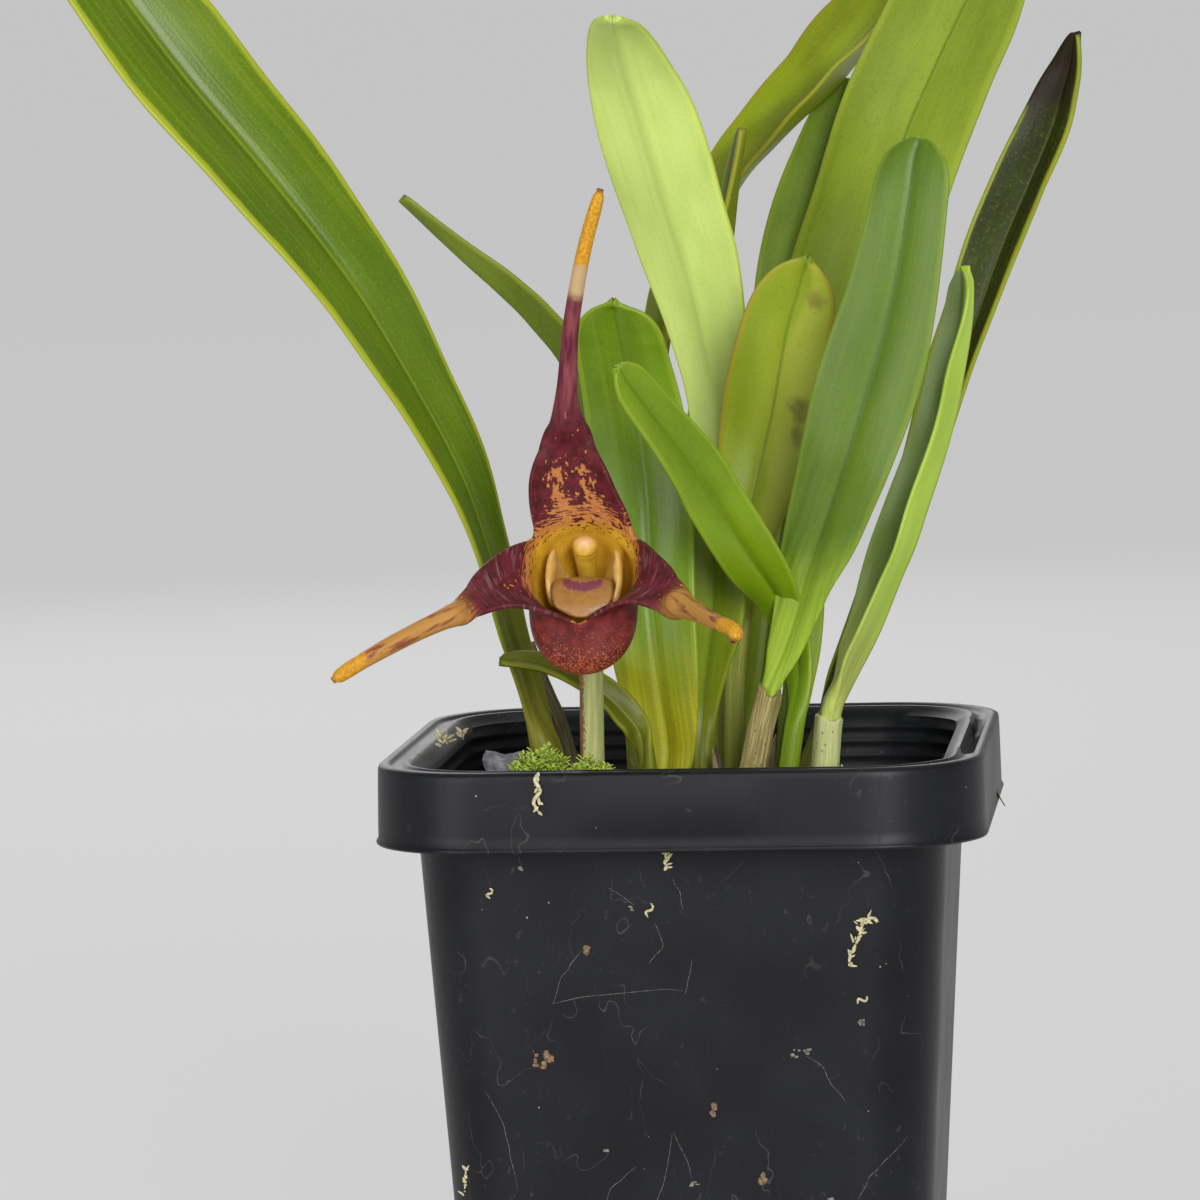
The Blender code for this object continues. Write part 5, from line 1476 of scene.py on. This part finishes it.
def moss_tuft(name, centre, spread, rise, sprigs, seed, finish):
    """A tuft of leafy moss on a steep cushion of its own old stems."""
    rng = random.Random(seed)
    heap = Heap("tip", "tone")
    x0, y0 = centre
    mound = []
    for share in (1.0, 0.9, 0.7, 0.45, 0.2):
        ring = []
        for a in range(28):
            turn = a * 2 * math.pi / 28
            reach = spread * share * (0.92 + 0.12 * lumps((math.cos(turn), math.sin(turn), seed), 0.5))
            x, y = x0 + reach * math.cos(turn), y0 + reach * math.sin(turn)
            ring.append(Vector((x, y, medium_height(x, y) + 0.1 + rise * (1 - share ** 3)
                                + 0.25 * lumps((x, y, 0), 0.8))))
        mound.append(ring)
    heap.rings(mound, tip=0.25, tone=0.0)
    for k in range(sprigs):
        turn = 2 * math.pi * (k * 0.618 % 1)
        reach = spread * math.sqrt((k + 0.5) / sprigs) * 0.92
        x, y = x0 + reach * math.cos(turn), y0 + reach * math.sin(turn)
        foot = Vector((x, y, medium_height(x, y) + (rise - 0.2) * (1 - (reach / spread) ** 3)))
        lean = Vector((math.cos(turn), math.sin(turn), 0)) * rng.uniform(0.1, 0.75) * (reach / spread)
        moss_sprig(heap, foot, (lean + UP).normalized(), rng.uniform(0.9, 2.6), rng.randint(11, 16), rng)
    heap.make(name + "_leaves", [finish], "moss", [name])


def moss():
    """Two tufts beside the stalk, and small bits of moss here and there on the medium."""
    finish = moss_finish()
    moss_tuft("moss_tuft_left", (-16.9, -20.5), 4.1, 8.0, 56, 3, finish)
    moss_tuft("moss_tuft_right", (-10.4, -24.4), 3.6, 7.0, 44, 4, finish)
    rng = random.Random(21)
    heap = Heap("tip", "tone")
    for x0, y0, spread, sprigs in ((-27.5, -4, 2.2, 7), (13, 26.5, 3.4, 13), (-22, 15, 3.5, 12),
                                   (23, -18, 2.6, 7), (3, -26, 1.8, 5), (22, 10, 2.5, 7)):
        for _ in range(sprigs):
            turn, reach = rng.uniform(0, 6.28), spread * math.sqrt(rng.random())
            x, y = x0 + reach * math.cos(turn), y0 + reach * math.sin(turn)
            lean = Vector((rng.uniform(-0.4, 0.4), rng.uniform(-0.4, 0.4), 1)).normalized()
            moss_sprig(heap, Vector((x, y, crumb_height(x, y))), lean, rng.uniform(0.6, 1.6),
                       rng.randint(9, 13), rng)
    heap.make("moss_bits_on_top", [finish], "moss")


def grit_finish():
    """Grey-white grit: dusty, with dark grains and a frosty bloom."""
    f = Finish("pumice_grit", Specular_IOR_Level=0.35)
    place = f.place()
    grains = f.cloud(place, 0.4, 4.0, 0.65)
    skin = f.tint(f.band(f.cloud(place, 1.8, 3.0), 0.35, 0.65), (0.12, 0.12, 0.14), (0.34, 0.33, 0.36))
    skin = f.tint(f.band(f.cells(place, 0.5), 0.22, 0.10) * 0.5, skin, (0.04, 0.04, 0.045))
    f.relief(grains, 0.25)
    return f.done(skin, 0.75 + 0.3 * (grains - 0.5))


def grit():
    """Two chips of grit beside the moss, and small grains scattered over the medium."""
    finish = grit_finish()
    for name, (x, y), size, seed in (("grit_chip_a", (-20.5, -14.5), 3.0, 5.0),
                                     ("grit_chip_b", (-25.6, -15.5), 2.0, 8.0)):
        verts, faces = crumb((size * 1.75, size * 1.4, size * 1.15), seed, 0.55, 4)
        floor = medium_height(x, y) + 0.55 + size * 0.52
        chipped = []
        for v in verts:
            v = v * (1 + 0.05 * lumps(v, 0.5, seed))
            chipped.append(v + Vector((x, y, floor)))
        piece(name + "_stone", chipped, faces, [finish], "grit", [name])
    rng = random.Random(31)
    heap = Heap()
    for x, y, z, size in ((-21.8, -15.4, 70.4, 4.8), (-21.4, -15.6, 73.3, 4.2),
                          (-19.4, -15.8, 72.3, 3.6), (-23.8, -16.8, 71.4, 3.6)):
        verts, faces = crumb((size, size * 0.85, size * 0.8), rng.uniform(0, 40), 0.5, 3)
        heap.add([v + Vector((x, y, z)) for v in verts], faces)
    for _ in range(GRIT_PLACES):
        x, y = rng.uniform(-STREWN_HALF, STREWN_HALF), rng.uniform(-STREWN_HALF, STREWN_HALF)
        size = rng.uniform(0.7, 2.0)
        if not clear_of_stems(x, y, size * 0.6):
            continue
        verts, faces = crumb((size, size * 0.85, size * 0.7), rng.uniform(0, 40), 0.45)
        seat = Vector((x, y, crumb_height(x, y) + size * 0.2))
        heap.add([v + seat for v in verts], faces)
    heap.make("grit_grains_on_top", [finish], "grit")


def bracts():
    """Dry pointed scales of old sheaths at the foot of the leaves."""
    finish = withered_finish("dry_bract_paper", (0.36, 0.30, 0.18), (0.13, 0.09, 0.045))
    heap = Heap("lie")
    scales = (((-5.6, -12.2), (-0.55, -0.4), 9.5, 2.0), ((-4.4, -13.0), (0.0, -0.55), 7.5, 1.5),
              ((2.6, -3.8), (-0.1, -0.45), 9.0, 1.9), ((0.2, 1.2), (0.1, 0.3), 7.0, 2.0),
              ((13.2, -4.6), (-0.2, -0.3), 5.5, 1.8), ((-17.6, -10.2), (-0.3, -0.3), 6.0, 2.2),
              ((-12.6, -5.0), (0.2, -0.2), 6.5, 1.6), ((5.2, 4.0), (0.2, 0.3), 8.0, 2.0),
              ((7.6, 16.4), (0.2, -0.2), 8.0, 2.4), ((1.4, 10.8), (0.0, -0.2), 7.5, 2.2))
    for number, ((x, y), (lean_x, lean_y), height, width) in enumerate(scales):
        floor = medium_height(x, y) - 0.8
        out = Vector((lean_x, lean_y, 0)).normalized()
        side = out.cross(UP)
        rings, lies = [], []
        for k in range(15):
            share = k / 14
            taper = (1 - share ** 2.2) * 0.95 + 0.05
            spot = Vector((x, y, floor + height * share)) + out * (0.14 * height * share ** 2)
            ring = []
            for way, swell, back in ((1, 0.02, 0.0), (-1, 0.0, 0.16)):
                for q in (-way, -0.5 * way, 0, 0.5 * way, way):
                    turn = q * 1.15
                    arm = side * math.sin(turn) + out * (math.cos(turn) - 1) + out * swell
                    ring.append(spot + arm * (width / 2 * taper) - out * back
                                + UP * (0.3 * lumps((q * 2, number, k), 1.0)))
            rings.append(ring)
            lies += [(i * 0.3, height * share, number * 3.0) for i in range(10)]
        heap.rings(rings, lie=lies)
    heap.make("dry_bracts", [finish], "dry_sheath")


# Pot

def plastic_finish():
    """Black moulded plastic: soft sheen, dust, hairline scratches, water marks and scuffs."""
    f = Finish("black_moulded_plastic", Specular_IOR_Level=0.25)
    place = f.place()
    haze = f.cloud(place, 14.0, 3.0, 0.55)
    grains = f.cloud(place, 0.45, 3.0, 0.6)
    skin = f.tint(f.band(haze, 0.35, 0.68), (0.0024, 0.0028, 0.0046), (0.0048, 0.0054, 0.0082))
    dust = f.band(f.cloud(place, (1.1, 1.1, 1.6), 5.0, 0.7), 0.60, 0.78) * f.band(haze, 0.42, 0.62)
    low = f.band(f.part(place, "Z"), 40.0, 5.0)
    skin = f.tint(dust * (0.30 + 0.4 * low), skin, (0.12, 0.115, 0.105))
    wander = f.cloud(place, 6.0, 2.0, 0.5, "Color")
    shifted = f.node("VectorMath", {"operation": "MULTIPLY_ADD"}, {0: wander, 1: (7.0, 7.0, 7.0), 2: place})
    hair = abs(f.cloud(shifted, (4.5, 4.5, 11.0), 1.0) - 0.5)
    hair = f.band(hair, 0.006, 0.0015) * f.band(f.cloud(place, 9.0), 0.50, 0.62)
    skin = f.tint(hair * 0.30, skin, (0.11, 0.105, 0.10))
    fleck = f.band(f.cells(place, 2.4), 0.055, 0.03) * f.band(f.cloud(place, 8.0), 0.50, 0.60)
    skin = f.tint(fleck * 0.8, skin, (0.34, 0.33, 0.29))
    rub = f.band(f.cloud(place, (0.5, 0.5, 9.0), 3.0, 0.6), 0.58, 0.72)
    rough = 0.34 + 0.16 * haze + 0.30 * dust + 0.10 * rub + 0.2 * hair
    f.relief(grains * 0.25 + haze * 2.0 + dust * 0.5, 0.03)
    return f.done(skin, rough)


def lip_slot(y):
    """How far the slot in the right side's lip is open at a place along that side."""
    return ease((y + 16.0) / 1.2) * (1 - ease((y - 15.0) / 1.2))


def pot_profile():
    """Rings of the pot from its base up, over the rim and down inside: half width, corner, height.

    Also the number of the rim band's first ring, and how deep the slot cuts into the lip's rings.
    """
    top = POT_HEIGHT
    rim_foot = top - RIM_BAND
    profile = [
        (BASE_HALF - 1.1, BODY_CORNER, 0), (BASE_HALF - 0.55, BODY_CORNER, 0.04),
        (BASE_HALF - 0.2, BODY_CORNER, 0.22), (BASE_HALF, BODY_CORNER, 0.7)]
    profile += [(body_half(z), BODY_CORNER, z) for z in (3, 20, 40, 60, 71)]
    profile += [
        (body_half(72.4) + 0.4, BODY_CORNER, 72.3), (body_half(72.6) + 1.1, BODY_CORNER + 1, 72.6),
        (RIM_HALF - WALL - 0.5, RIM_CORNER, 72.6), (RIM_HALF - WALL, RIM_CORNER, 72.2),
        (RIM_HALF - WALL + 0.05, RIM_CORNER, rim_foot + 1.0),
        (RIM_HALF - WALL + 0.15, RIM_CORNER, rim_foot + 0.1)]
    band_row = len(profile)
    band = [(-0.2, rim_foot), (0.28, rim_foot + 0.05), (0.40, rim_foot + 0.28), (0.30, rim_foot + 0.55),
            (0.16, rim_foot + 0.8), (0.15, PANEL_LOW - 0.5), (0.14, PANEL_LOW),
            (0.09, (PANEL_LOW + PANEL_HIGH) / 2), (0.04, PANEL_HIGH), (0.02, PANEL_HIGH + 0.5)]
    profile += [(RIM_HALF + out, RIM_CORNER, z) for out, z in band]
    lip_row = len(profile)
    slot_depth = {lip_row + 5: 0.5, lip_row + 6: 1.6, lip_row + 7: 1.9, lip_row + 8: 0.9}
    lip_steps = [(0, 0, 0.55), (0.12, 0, 0.2), (0.4, 0, 0.03), (0.9, 0, 0), (1.2, 0, 0.12), (1.4, 0, 0.4),
                 (1.9, 0.5, 0.5), (2.6, 1.5, 0.5), (2.9, 2.0, 0.35), (3.15, 2.4, 0.1), (3.6, 3.0, 0.12),
                 (3.95, 3.4, 0.5)]
    profile += [(RIM_HALF - inset, RIM_CORNER - cut, top - drop) for inset, cut, drop in lip_steps]
    z = top - 1.2
    while z > RIDGES_FROM:
        half = body_half(z, WALL)
        profile += [(half, BODY_CORNER, z), (half, BODY_CORNER, z - 0.9),
                    (half - RIDGE_DEPTH, BODY_CORNER, z - 1.15), (half - RIDGE_DEPTH, BODY_CORNER, z - 1.5)]
        z -= RIDGE_STEP
    profile += [(body_half(z, WALL), BODY_CORNER, z) for z in (50, 25, BASE_THICKNESS + 1.2)]
    profile += [(body_half(BASE_THICKNESS, WALL) - 0.4, BODY_CORNER, BASE_THICKNESS + 0.3),
                (body_half(BASE_THICKNESS, WALL) - 1.2, BODY_CORNER, BASE_THICKNESS)]
    return profile, band_row, slot_depth


def drain_holes(shell):
    """Cuts the eight drain holes into the pot's base."""
    spots = [(sx * DRAIN_SPREAD, sy * DRAIN_SPREAD) for sx in (-1, 1) for sy in (-1, 1)]
    spots += [(DRAIN_SPREAD, 0), (-DRAIN_SPREAD, 0), (0, DRAIN_SPREAD), (0, -DRAIN_SPREAD)]
    drills = []
    for k, (x, y) in enumerate(spots):
        ends = [circle(Vector((x, y, z)), UP, DRAIN_RADIUS, 24) for z in (-2, BASE_THICKNESS + 1)]
        verts, faces = ring_body(ends)
        mesh = bpy.data.meshes.new(f"drain_{k}")
        mesh.from_pydata([tuple(v * MM) for v in verts], [], faces)
        drill = bpy.data.objects.new(f"drain_{k}", mesh)
        bpy.context.scene.collection.objects.link(drill)
        cut = shell.modifiers.new(f"drain_{k}", "BOOLEAN")
        cut.operation = "DIFFERENCE"
        cut.object = drill
        drills.append(drill)
    apply_modifiers(shell)
    for drill in drills:
        bpy.data.objects.remove(drill)


def pot():
    """Tapered square pot with a folded-over rim band, ridges inside and a slot in its right lip."""
    profile, band_row, slot_depth = pot_profile()
    rings = []
    for number, (half, corner, z) in enumerate(profile):
        ring = rounded_square(half, corner, z)
        for p in ring:
            if number in slot_depth and p.x > 0:
                p.z -= slot_depth[number] * lip_slot(p.y) * ease((p.x - 28) / 3)
            beside = abs(p.x) < PANEL_HALF + 1 and abs(p.y) > 30
            if beside and PANEL_LOW <= z <= PANEL_HIGH and number > band_row:
                p.y += math.copysign(0.16 * ease((PANEL_HALF + 0.6 - abs(p.x)) / 0.6), p.y)
        rings.append(ring)
    shell = piece("pot_shell", *ring_body(rings), [plastic_finish()], "black_plastic", ["pot"])
    drain_holes(shell)
    shell.data.shade_smooth()
    shell.data.set_sharp_from_angle(angle=math.radians(60))


# Dried bits on the pot's front face: kind, place across and up (millimetres), length and turn.
FRONT_BITS = (
    ("moss", 21.2, 55.6, 3.2, 60), ("moss", 20.2, 52.8, 3.0, 70), ("moss", 21.6, 57.0, 2.2, 10),
    ("moss", -1.1, 64.3, 2.6, 85), ("curl", -3.1, 58.3, 1.7, 70), ("curl", 21.2, 47.5, 1.4, 30),
    ("flake", 20.9, 44.9, 1.1, 25), ("flake", 13.3, 41.3, 1.6, 10), ("flake", 14.6, 41.5, 0.9, 40),
    ("brown", 3.8, 34.4, 1.4, 20), ("curl", -21.6, 60.5, 1.2, 80), ("brown", -10.7, 54.0, 1.0, 60),
    ("brown", -16.6, 40.6, 1.5, 20), ("brown", -15.4, 41.3, 2.2, 85), ("moss", -26.2, 25.5, 3.4, 80),
    ("flake", 1.2, 25.8, 1.2, 10), ("flake", -5.0, 58.6, 1.0, 60), ("flake", -17.9, 63.4, 0.6, 20),
    ("brown", 9.0, 26.5, 1.2, 60), ("flake", -3.0, 22.0, 0.8, 15), ("curl", 8.0, 20.0, 1.4, 55),
    ("flake", -9.0, 30.0, 0.5, 0), ("brown", -20.0, 18.0, 1.6, 75), ("flake", 17.0, 24.0, 0.7, 30),
)
# Its crumbs: how many to a place, how far they spread as shares of the length, how far they stand
# off the pot, and their sizes.
FRONT_CRUMBS = {
    "brown": dict(heap="brown", count=4, spread=(0.3, 0.5), lift=0.1, wide=(0.4, 0.9), deep=0.3,
                  tall=(0.4, 1.0)),
    "flake": dict(heap="pale", count=5, spread=(0.4, 0.3), lift=0.08, wide=(0.2, 0.55), deep=0.16,
                  tall=(0.15, 0.4)),
}
# Fine dead roots on the same face, as places across and up.
FRONT_ROOTS = (
    ((-15.0, 47.4), (-11, 48.2), (-6.3, 48.6), (-1.5, 49.0), (0.5, 48.8)),
    ((-14.8, 47.3), (-13.6, 50.5), (-12.4, 52.0), (-11.0, 53.8)),
    ((-0.4, 62.0), (0.4, 60.4), (0.8, 58.2)), ((-2.5, 57), (-1.8, 54), (-3.4, 52)),
    ((1.6, 52.5), (1.2, 50), (0.6, 48.2)), ((-7.8, 61), (-5.5, 59.5), (-4.8, 58.8)),
    ((14.5, 41), (16.6, 39.6), (17.4, 37.6), (19, 35.5)), ((-23, 37), (-21, 33), (-20, 28), (-19.6, 25)),
    ((-1.2, 32), (-1.8, 28.5), (-3, 24.5), (-5, 20)), ((-1.1, 32), (0.2, 29), (0.8, 26.6)),
    ((-10.2, 21), (-8.6, 25.5), (-5.6, 28)), ((17, 16), (18.6, 21), (21.5, 26.5), (26, 31)),
)
TOWARD_FRONT = Vector((0, -1, 0.06)).normalized()


def on_front(x, z, lift):
    """A place on the pot's front face, lifted off it by a little."""
    half = body_half(z)
    flat = half - BODY_CORNER
    bend = max(0.0, abs(x) - flat)
    back = BODY_CORNER - math.sqrt(max(0.0, BODY_CORNER ** 2 - min(bend, BODY_CORNER) ** 2))
    return Vector((x, -half + back - lift, z))


def bit_finish(name, light, dark):
    """Dry crumbs and scraps, mottled between a light colour and a dark one."""
    f = Finish(name, Specular_IOR_Level=0.3)
    place = f.place()
    grains = f.cloud(place, 0.35, 3.0, 0.6)
    skin = f.tint(f.band(grains, 0.36, 0.64), dark, light)
    skin = f.tint(f.band(f.cloud(place, 1.2), 0.55, 0.7) * 0.6, skin, tuple(c * 0.6 for c in light))
    f.relief(grains, 0.08)
    return f.done(skin, 0.72 + 0.2 * (grains - 0.5))


def leaflet(heap, foot, way, face, length, width, curl):
    """One small dried leaf against a surface."""
    side = way.cross(face).normalized()
    rings = []
    for share, wide in ((0, 0.3), (0.2, 0.85), (0.45, 1.0), (0.7, 0.75), (0.88, 0.4), (1.0, 0.06)):
        spot = foot + way * (length * share) + face * (curl * share * share)
        half = width * wide / 2
        rings.append([spot - side * half + face * 0.10, spot - face * 0.02, spot + side * half + face * 0.10,
                      spot + side * half * 0.5 + face * 0.14, spot + face * 0.08,
                      spot - side * half * 0.5 + face * 0.14])
    heap.rings(rings)


def front_bit(heaps, kind, x, z, length, turn, rng):
    """One dried bit on the front: a scrap of moss, a curl, crumbs of bark or a pale flake."""
    a = math.radians(turn)
    way = Vector((math.cos(a), 0, math.sin(a)))
    if kind == "moss":
        for k in range(12):
            share = k / 11 - 0.5 + rng.uniform(-0.06, 0.06)
            spot = on_front(x + way.x * length * share, z + way.z * length * share, 0.08)
            b = a + rng.uniform(-1.3, 1.3)
            leaflet(heaps["moss"], spot, Vector((math.cos(b), 0, math.sin(b))), TOWARD_FRONT,
                    rng.uniform(0.4, 1.25), rng.uniform(0.2, 0.5), rng.uniform(0.1, 0.5))
    elif kind == "curl":
        points = [on_front(x + way.x * length * s + 0.35 * math.sin(s * 7) * way.z,
                           z + way.z * length * s - 0.35 * math.sin(s * 7) * way.x, 0.16)
                  for s in (-0.5, -0.2, 0.1, 0.35, 0.5)]
        strand(heaps["moss"], points, 0.17, 6, 14)
    else:
        look = FRONT_CRUMBS[kind]
        for _ in range(look["count"]):
            across, up = (rng.uniform(-share, share) * length for share in look["spread"])
            spot = on_front(x + across, z + up, look["lift"])
            size = (rng.uniform(*look["wide"]), look["deep"], rng.uniform(*look["tall"]))
            verts, faces = crumb(size, rng.uniform(0, 9), 0.5)
            heaps[look["heap"]].add([v + spot for v in verts], faces)


def front_root(heap, route, rng):
    """One fine dead root on the front."""
    points = []
    for (x0, z0), (x1, z1) in zip(route, route[1:]):
        steps = max(2, int(math.hypot(x1 - x0, z1 - z0) / 1.2))
        points += [on_front(mix(x0, x1, i / steps) + rng.uniform(-0.12, 0.12), mix(z0, z1, i / steps), 0.03)
                   for i in range(steps)]
    points.append(on_front(*route[-1], 0.03))
    strand(heap, points, 0.03, 5, len(points) * 3)


def rim_bits(heaps, rng):
    """A strand of moss over the front rim, tufts on the left lip, and two scraps on the right side."""
    hanging = [Vector((-15.0, -35.45, 75.1)), Vector((-15.4, -35.75, 74.2)), Vector((-14.8, -35.8, 73.0)),
               Vector((-15.6, -35.85, 71.8)), Vector((-15.1, -35.8, 70.6))]
    strand(heaps["moss"], hanging, 0.24, 7, 22)
    for k in range(9):
        p = hanging[0].lerp(hanging[-1], k / 8)
        b = math.radians(rng.uniform(200, 340))
        leaflet(heaps["moss"], p, Vector((math.cos(b), 0, math.sin(b))), TOWARD_FRONT,
                rng.uniform(0.6, 1.0), 0.4, 0.2)
    for x, y, z in ((-29.9, -2, 75.0), (-28.6, 2.0, 75.0), (-30.2, -5.0, 75.1)):
        way = Vector((rng.uniform(-0.3, 0.3), 0.2, 1)).normalized()
        for k in range(6):
            b = Vector((rng.uniform(-1, 1), rng.uniform(-1, 1), rng.uniform(0.2, 1.0))).normalized()
            leaflet(heaps["moss"], Vector((x, y, z - 0.3 + 0.2 * k)), b, way.cross(b).normalized(),
                    rng.uniform(0.9, 1.5), 0.5, 0.15)
    outward = Vector((1, 0, 0))
    leaflet(heaps["brown"], Vector((35.2, 9.0, 67.4)), Vector((0.35, -0.25, -1)).normalized(),
            outward, 2.6, 1.6, 0.4)
    leaflet(heaps["brown"], Vector((35.3, 8.4, 68.2)), Vector((0.1, 0.25, -1)).normalized(),
            outward, 2.4, 1.1, 0.2)


def dried_bits():
    """Dried moss, flakes, bark crumbs and dead roots stuck to the pot."""
    rng = random.Random(17)
    heaps = {"moss": Heap(), "brown": Heap(), "pale": Heap()}
    for bit in FRONT_BITS:
        front_bit(heaps, *bit, rng)
    for route in FRONT_ROOTS:
        front_root(heaps["pale"], route, rng)
    rim_bits(heaps, rng)
    finishes = {"moss": bit_finish("dried_moss", (0.62, 0.56, 0.38), (0.36, 0.32, 0.16)),
                "brown": bit_finish("dried_bark_crumbs", (0.25, 0.16, 0.10), (0.11, 0.06, 0.035)),
                "pale": bit_finish("dried_pale_roots", (0.22, 0.215, 0.19), (0.07, 0.065, 0.055))}
    slots = {"moss": "moss", "brown": "growing_mix", "pale": "grit"}
    for kind, heap in heaps.items():
        heap.make("dried_bits_" + kind, [finishes[kind]], slots[kind])


def rhizome_finish():
    """Woody creeping stem and its roots, under the medium."""
    f = Finish("woody_rhizome", Specular_IOR_Level=0.3)
    place = f.place()
    grains = f.cloud(place, 0.8, 4.0, 0.6)
    skin = f.tint(f.band(grains, 0.35, 0.65), (0.10, 0.07, 0.03), (0.26, 0.20, 0.09))
    f.relief(grains, 0.2)
    return f.done(skin, 0.7 + 0.2 * (grains - 0.5))


# Room, camera and light

def floor_finish():
    """The floor's pale surface, lit a little from within so that its far side stays even."""
    f = Finish("pale_floor", Specular_IOR_Level=0.1, Emission_Color=(1, 1, 1), Emission_Strength=0.48)
    pale = (0.17, 0.17, 0.167)
    return f.done(f.tint(f.cloud(f.place(), 40.0), tuple(c * 0.985 for c in pale), pale), 0.75)


def studio_floor():
    """A wide pale floor just under the pot, that curves up far away on every side."""
    flat, sweep, sides, drop = 2600.0, 1500.0, 96, 0.3
    rows = [(flat * k / 6, -drop) for k in range(1, 7)]
    rows += [(flat + sweep * math.sin(a), sweep * (1 - math.cos(a)) - drop)
             for a in (math.radians(d) for d in range(6, 91, 6))]
    verts = [Vector((0, 0, -drop))]
    verts += [Vector((r * math.cos(2 * math.pi * k / sides), r * math.sin(2 * math.pi * k / sides), z))
              for r, z in rows for k in range(sides)]
    faces = [(0, 1 + k, 1 + (k + 1) % sides) for k in range(sides)]
    for r in range(len(rows) - 1):
        for k in range(sides):
            a, b = 1 + r * sides + k, 1 + r * sides + (k + 1) % sides
            faces.append((a, a + sides, b + sides, b))
    mesh = bpy.data.meshes.new("studio_floor")
    mesh.from_pydata([tuple(v * MM) for v in verts], [], faces)
    mesh.materials.append(floor_finish())
    mesh.shade_smooth()
    floor = bpy.data.objects.new("studio_floor", mesh)
    bpy.context.scene.collection.objects.link(floor)


def soft_light(name, place, target, size, power):
    """A rectangular soft light that looks at a target; places in millimetres, its size in metres."""
    data = bpy.data.lights.new(name, "AREA")
    data.shape = "RECTANGLE"
    data.size, data.size_y = size
    data.energy = power
    lamp = bpy.data.objects.new(name, data)
    lamp.location = Vector(place) * MM
    way = Vector(target) * MM - lamp.location
    lamp.rotation_euler = way.to_track_quat("-Z", "Y").to_euler()
    bpy.context.scene.collection.objects.link(lamp)


def lights():
    """An even pale room, and four soft lights round the plant."""
    world = bpy.data.worlds.new("pale_room")
    world.use_nodes = True
    sky = world.node_tree.nodes["Background"]
    sky.inputs["Color"].default_value = (1, 1, 1, 1)
    sky.inputs["Strength"].default_value = 0.30
    bpy.context.scene.world = world
    bpy.context.scene.view_settings.view_transform = "Standard"
    soft_light("key", (380, -1050, 420), (0, -10, 95), (0.42, 0.55), 10.5)
    soft_light("fill", (-620, -950, 230), (0, -10, 90), (0.60, 0.50), 5.0)
    soft_light("top", (60, 120, 1100), (0, 0, 100), (0.80, 0.80), 1.8)
    soft_light("back", (-250, 900, 500), (0, 0, 110), (0.60, 0.60), 2.5)


# The camera stands 726 mm from the pot's axis, a little to its right, and looks slightly down.
CAMERA_PLACE = (67.06, -722.9, 157.0)
CAMERA_TURN = 6.18
CAMERA_PITCH = 5.14
CAMERA_ROLL = -1.5
SENSOR = 36.0
FOCAL_PIXELS = 6080
FRAME_PIXELS = 1200


def camera():
    """The camera at the photograph's viewing angle."""
    turn, pitch, roll = (math.radians(a) for a in (CAMERA_TURN, CAMERA_PITCH, CAMERA_ROLL))
    forward = Vector((-math.sin(turn) * math.cos(pitch), math.cos(turn) * math.cos(pitch), -math.sin(pitch)))
    level = Vector((math.cos(turn), math.sin(turn), 0))
    above = level.cross(forward)
    right = level * math.cos(roll) + above * math.sin(roll)
    upward = -level * math.sin(roll) + above * math.cos(roll)
    data = bpy.data.cameras.new("photo_view")
    data.sensor_width = SENSOR
    data.lens = FOCAL_PIXELS / FRAME_PIXELS * SENSOR
    data.clip_start = 0.01
    data.clip_end = 50.0
    view = bpy.data.objects.new("photo_view", data)
    axes = Matrix((right, upward, -forward)).transposed()
    view.matrix_world = Matrix.Translation(Vector(CAMERA_PLACE) * MM) @ axes.to_4x4()
    bpy.context.scene.collection.objects.link(view)
    bpy.context.scene.camera = view


camera()
lights()
studio_floor()
pot()
growing_medium()
bark()
fibres()
moss()
grit()
bracts()
for leaf_name, leaf_spec in LEAVES.items():
    leaf(leaf_name, leaf_spec)
sheaths()
flower_stalk()
old_stalk()
sepals()
petals()
lip()
column()
dried_bits()
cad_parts["rhizome"].data.materials.clear()
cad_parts["rhizome"].data.materials.append(rhizome_finish())
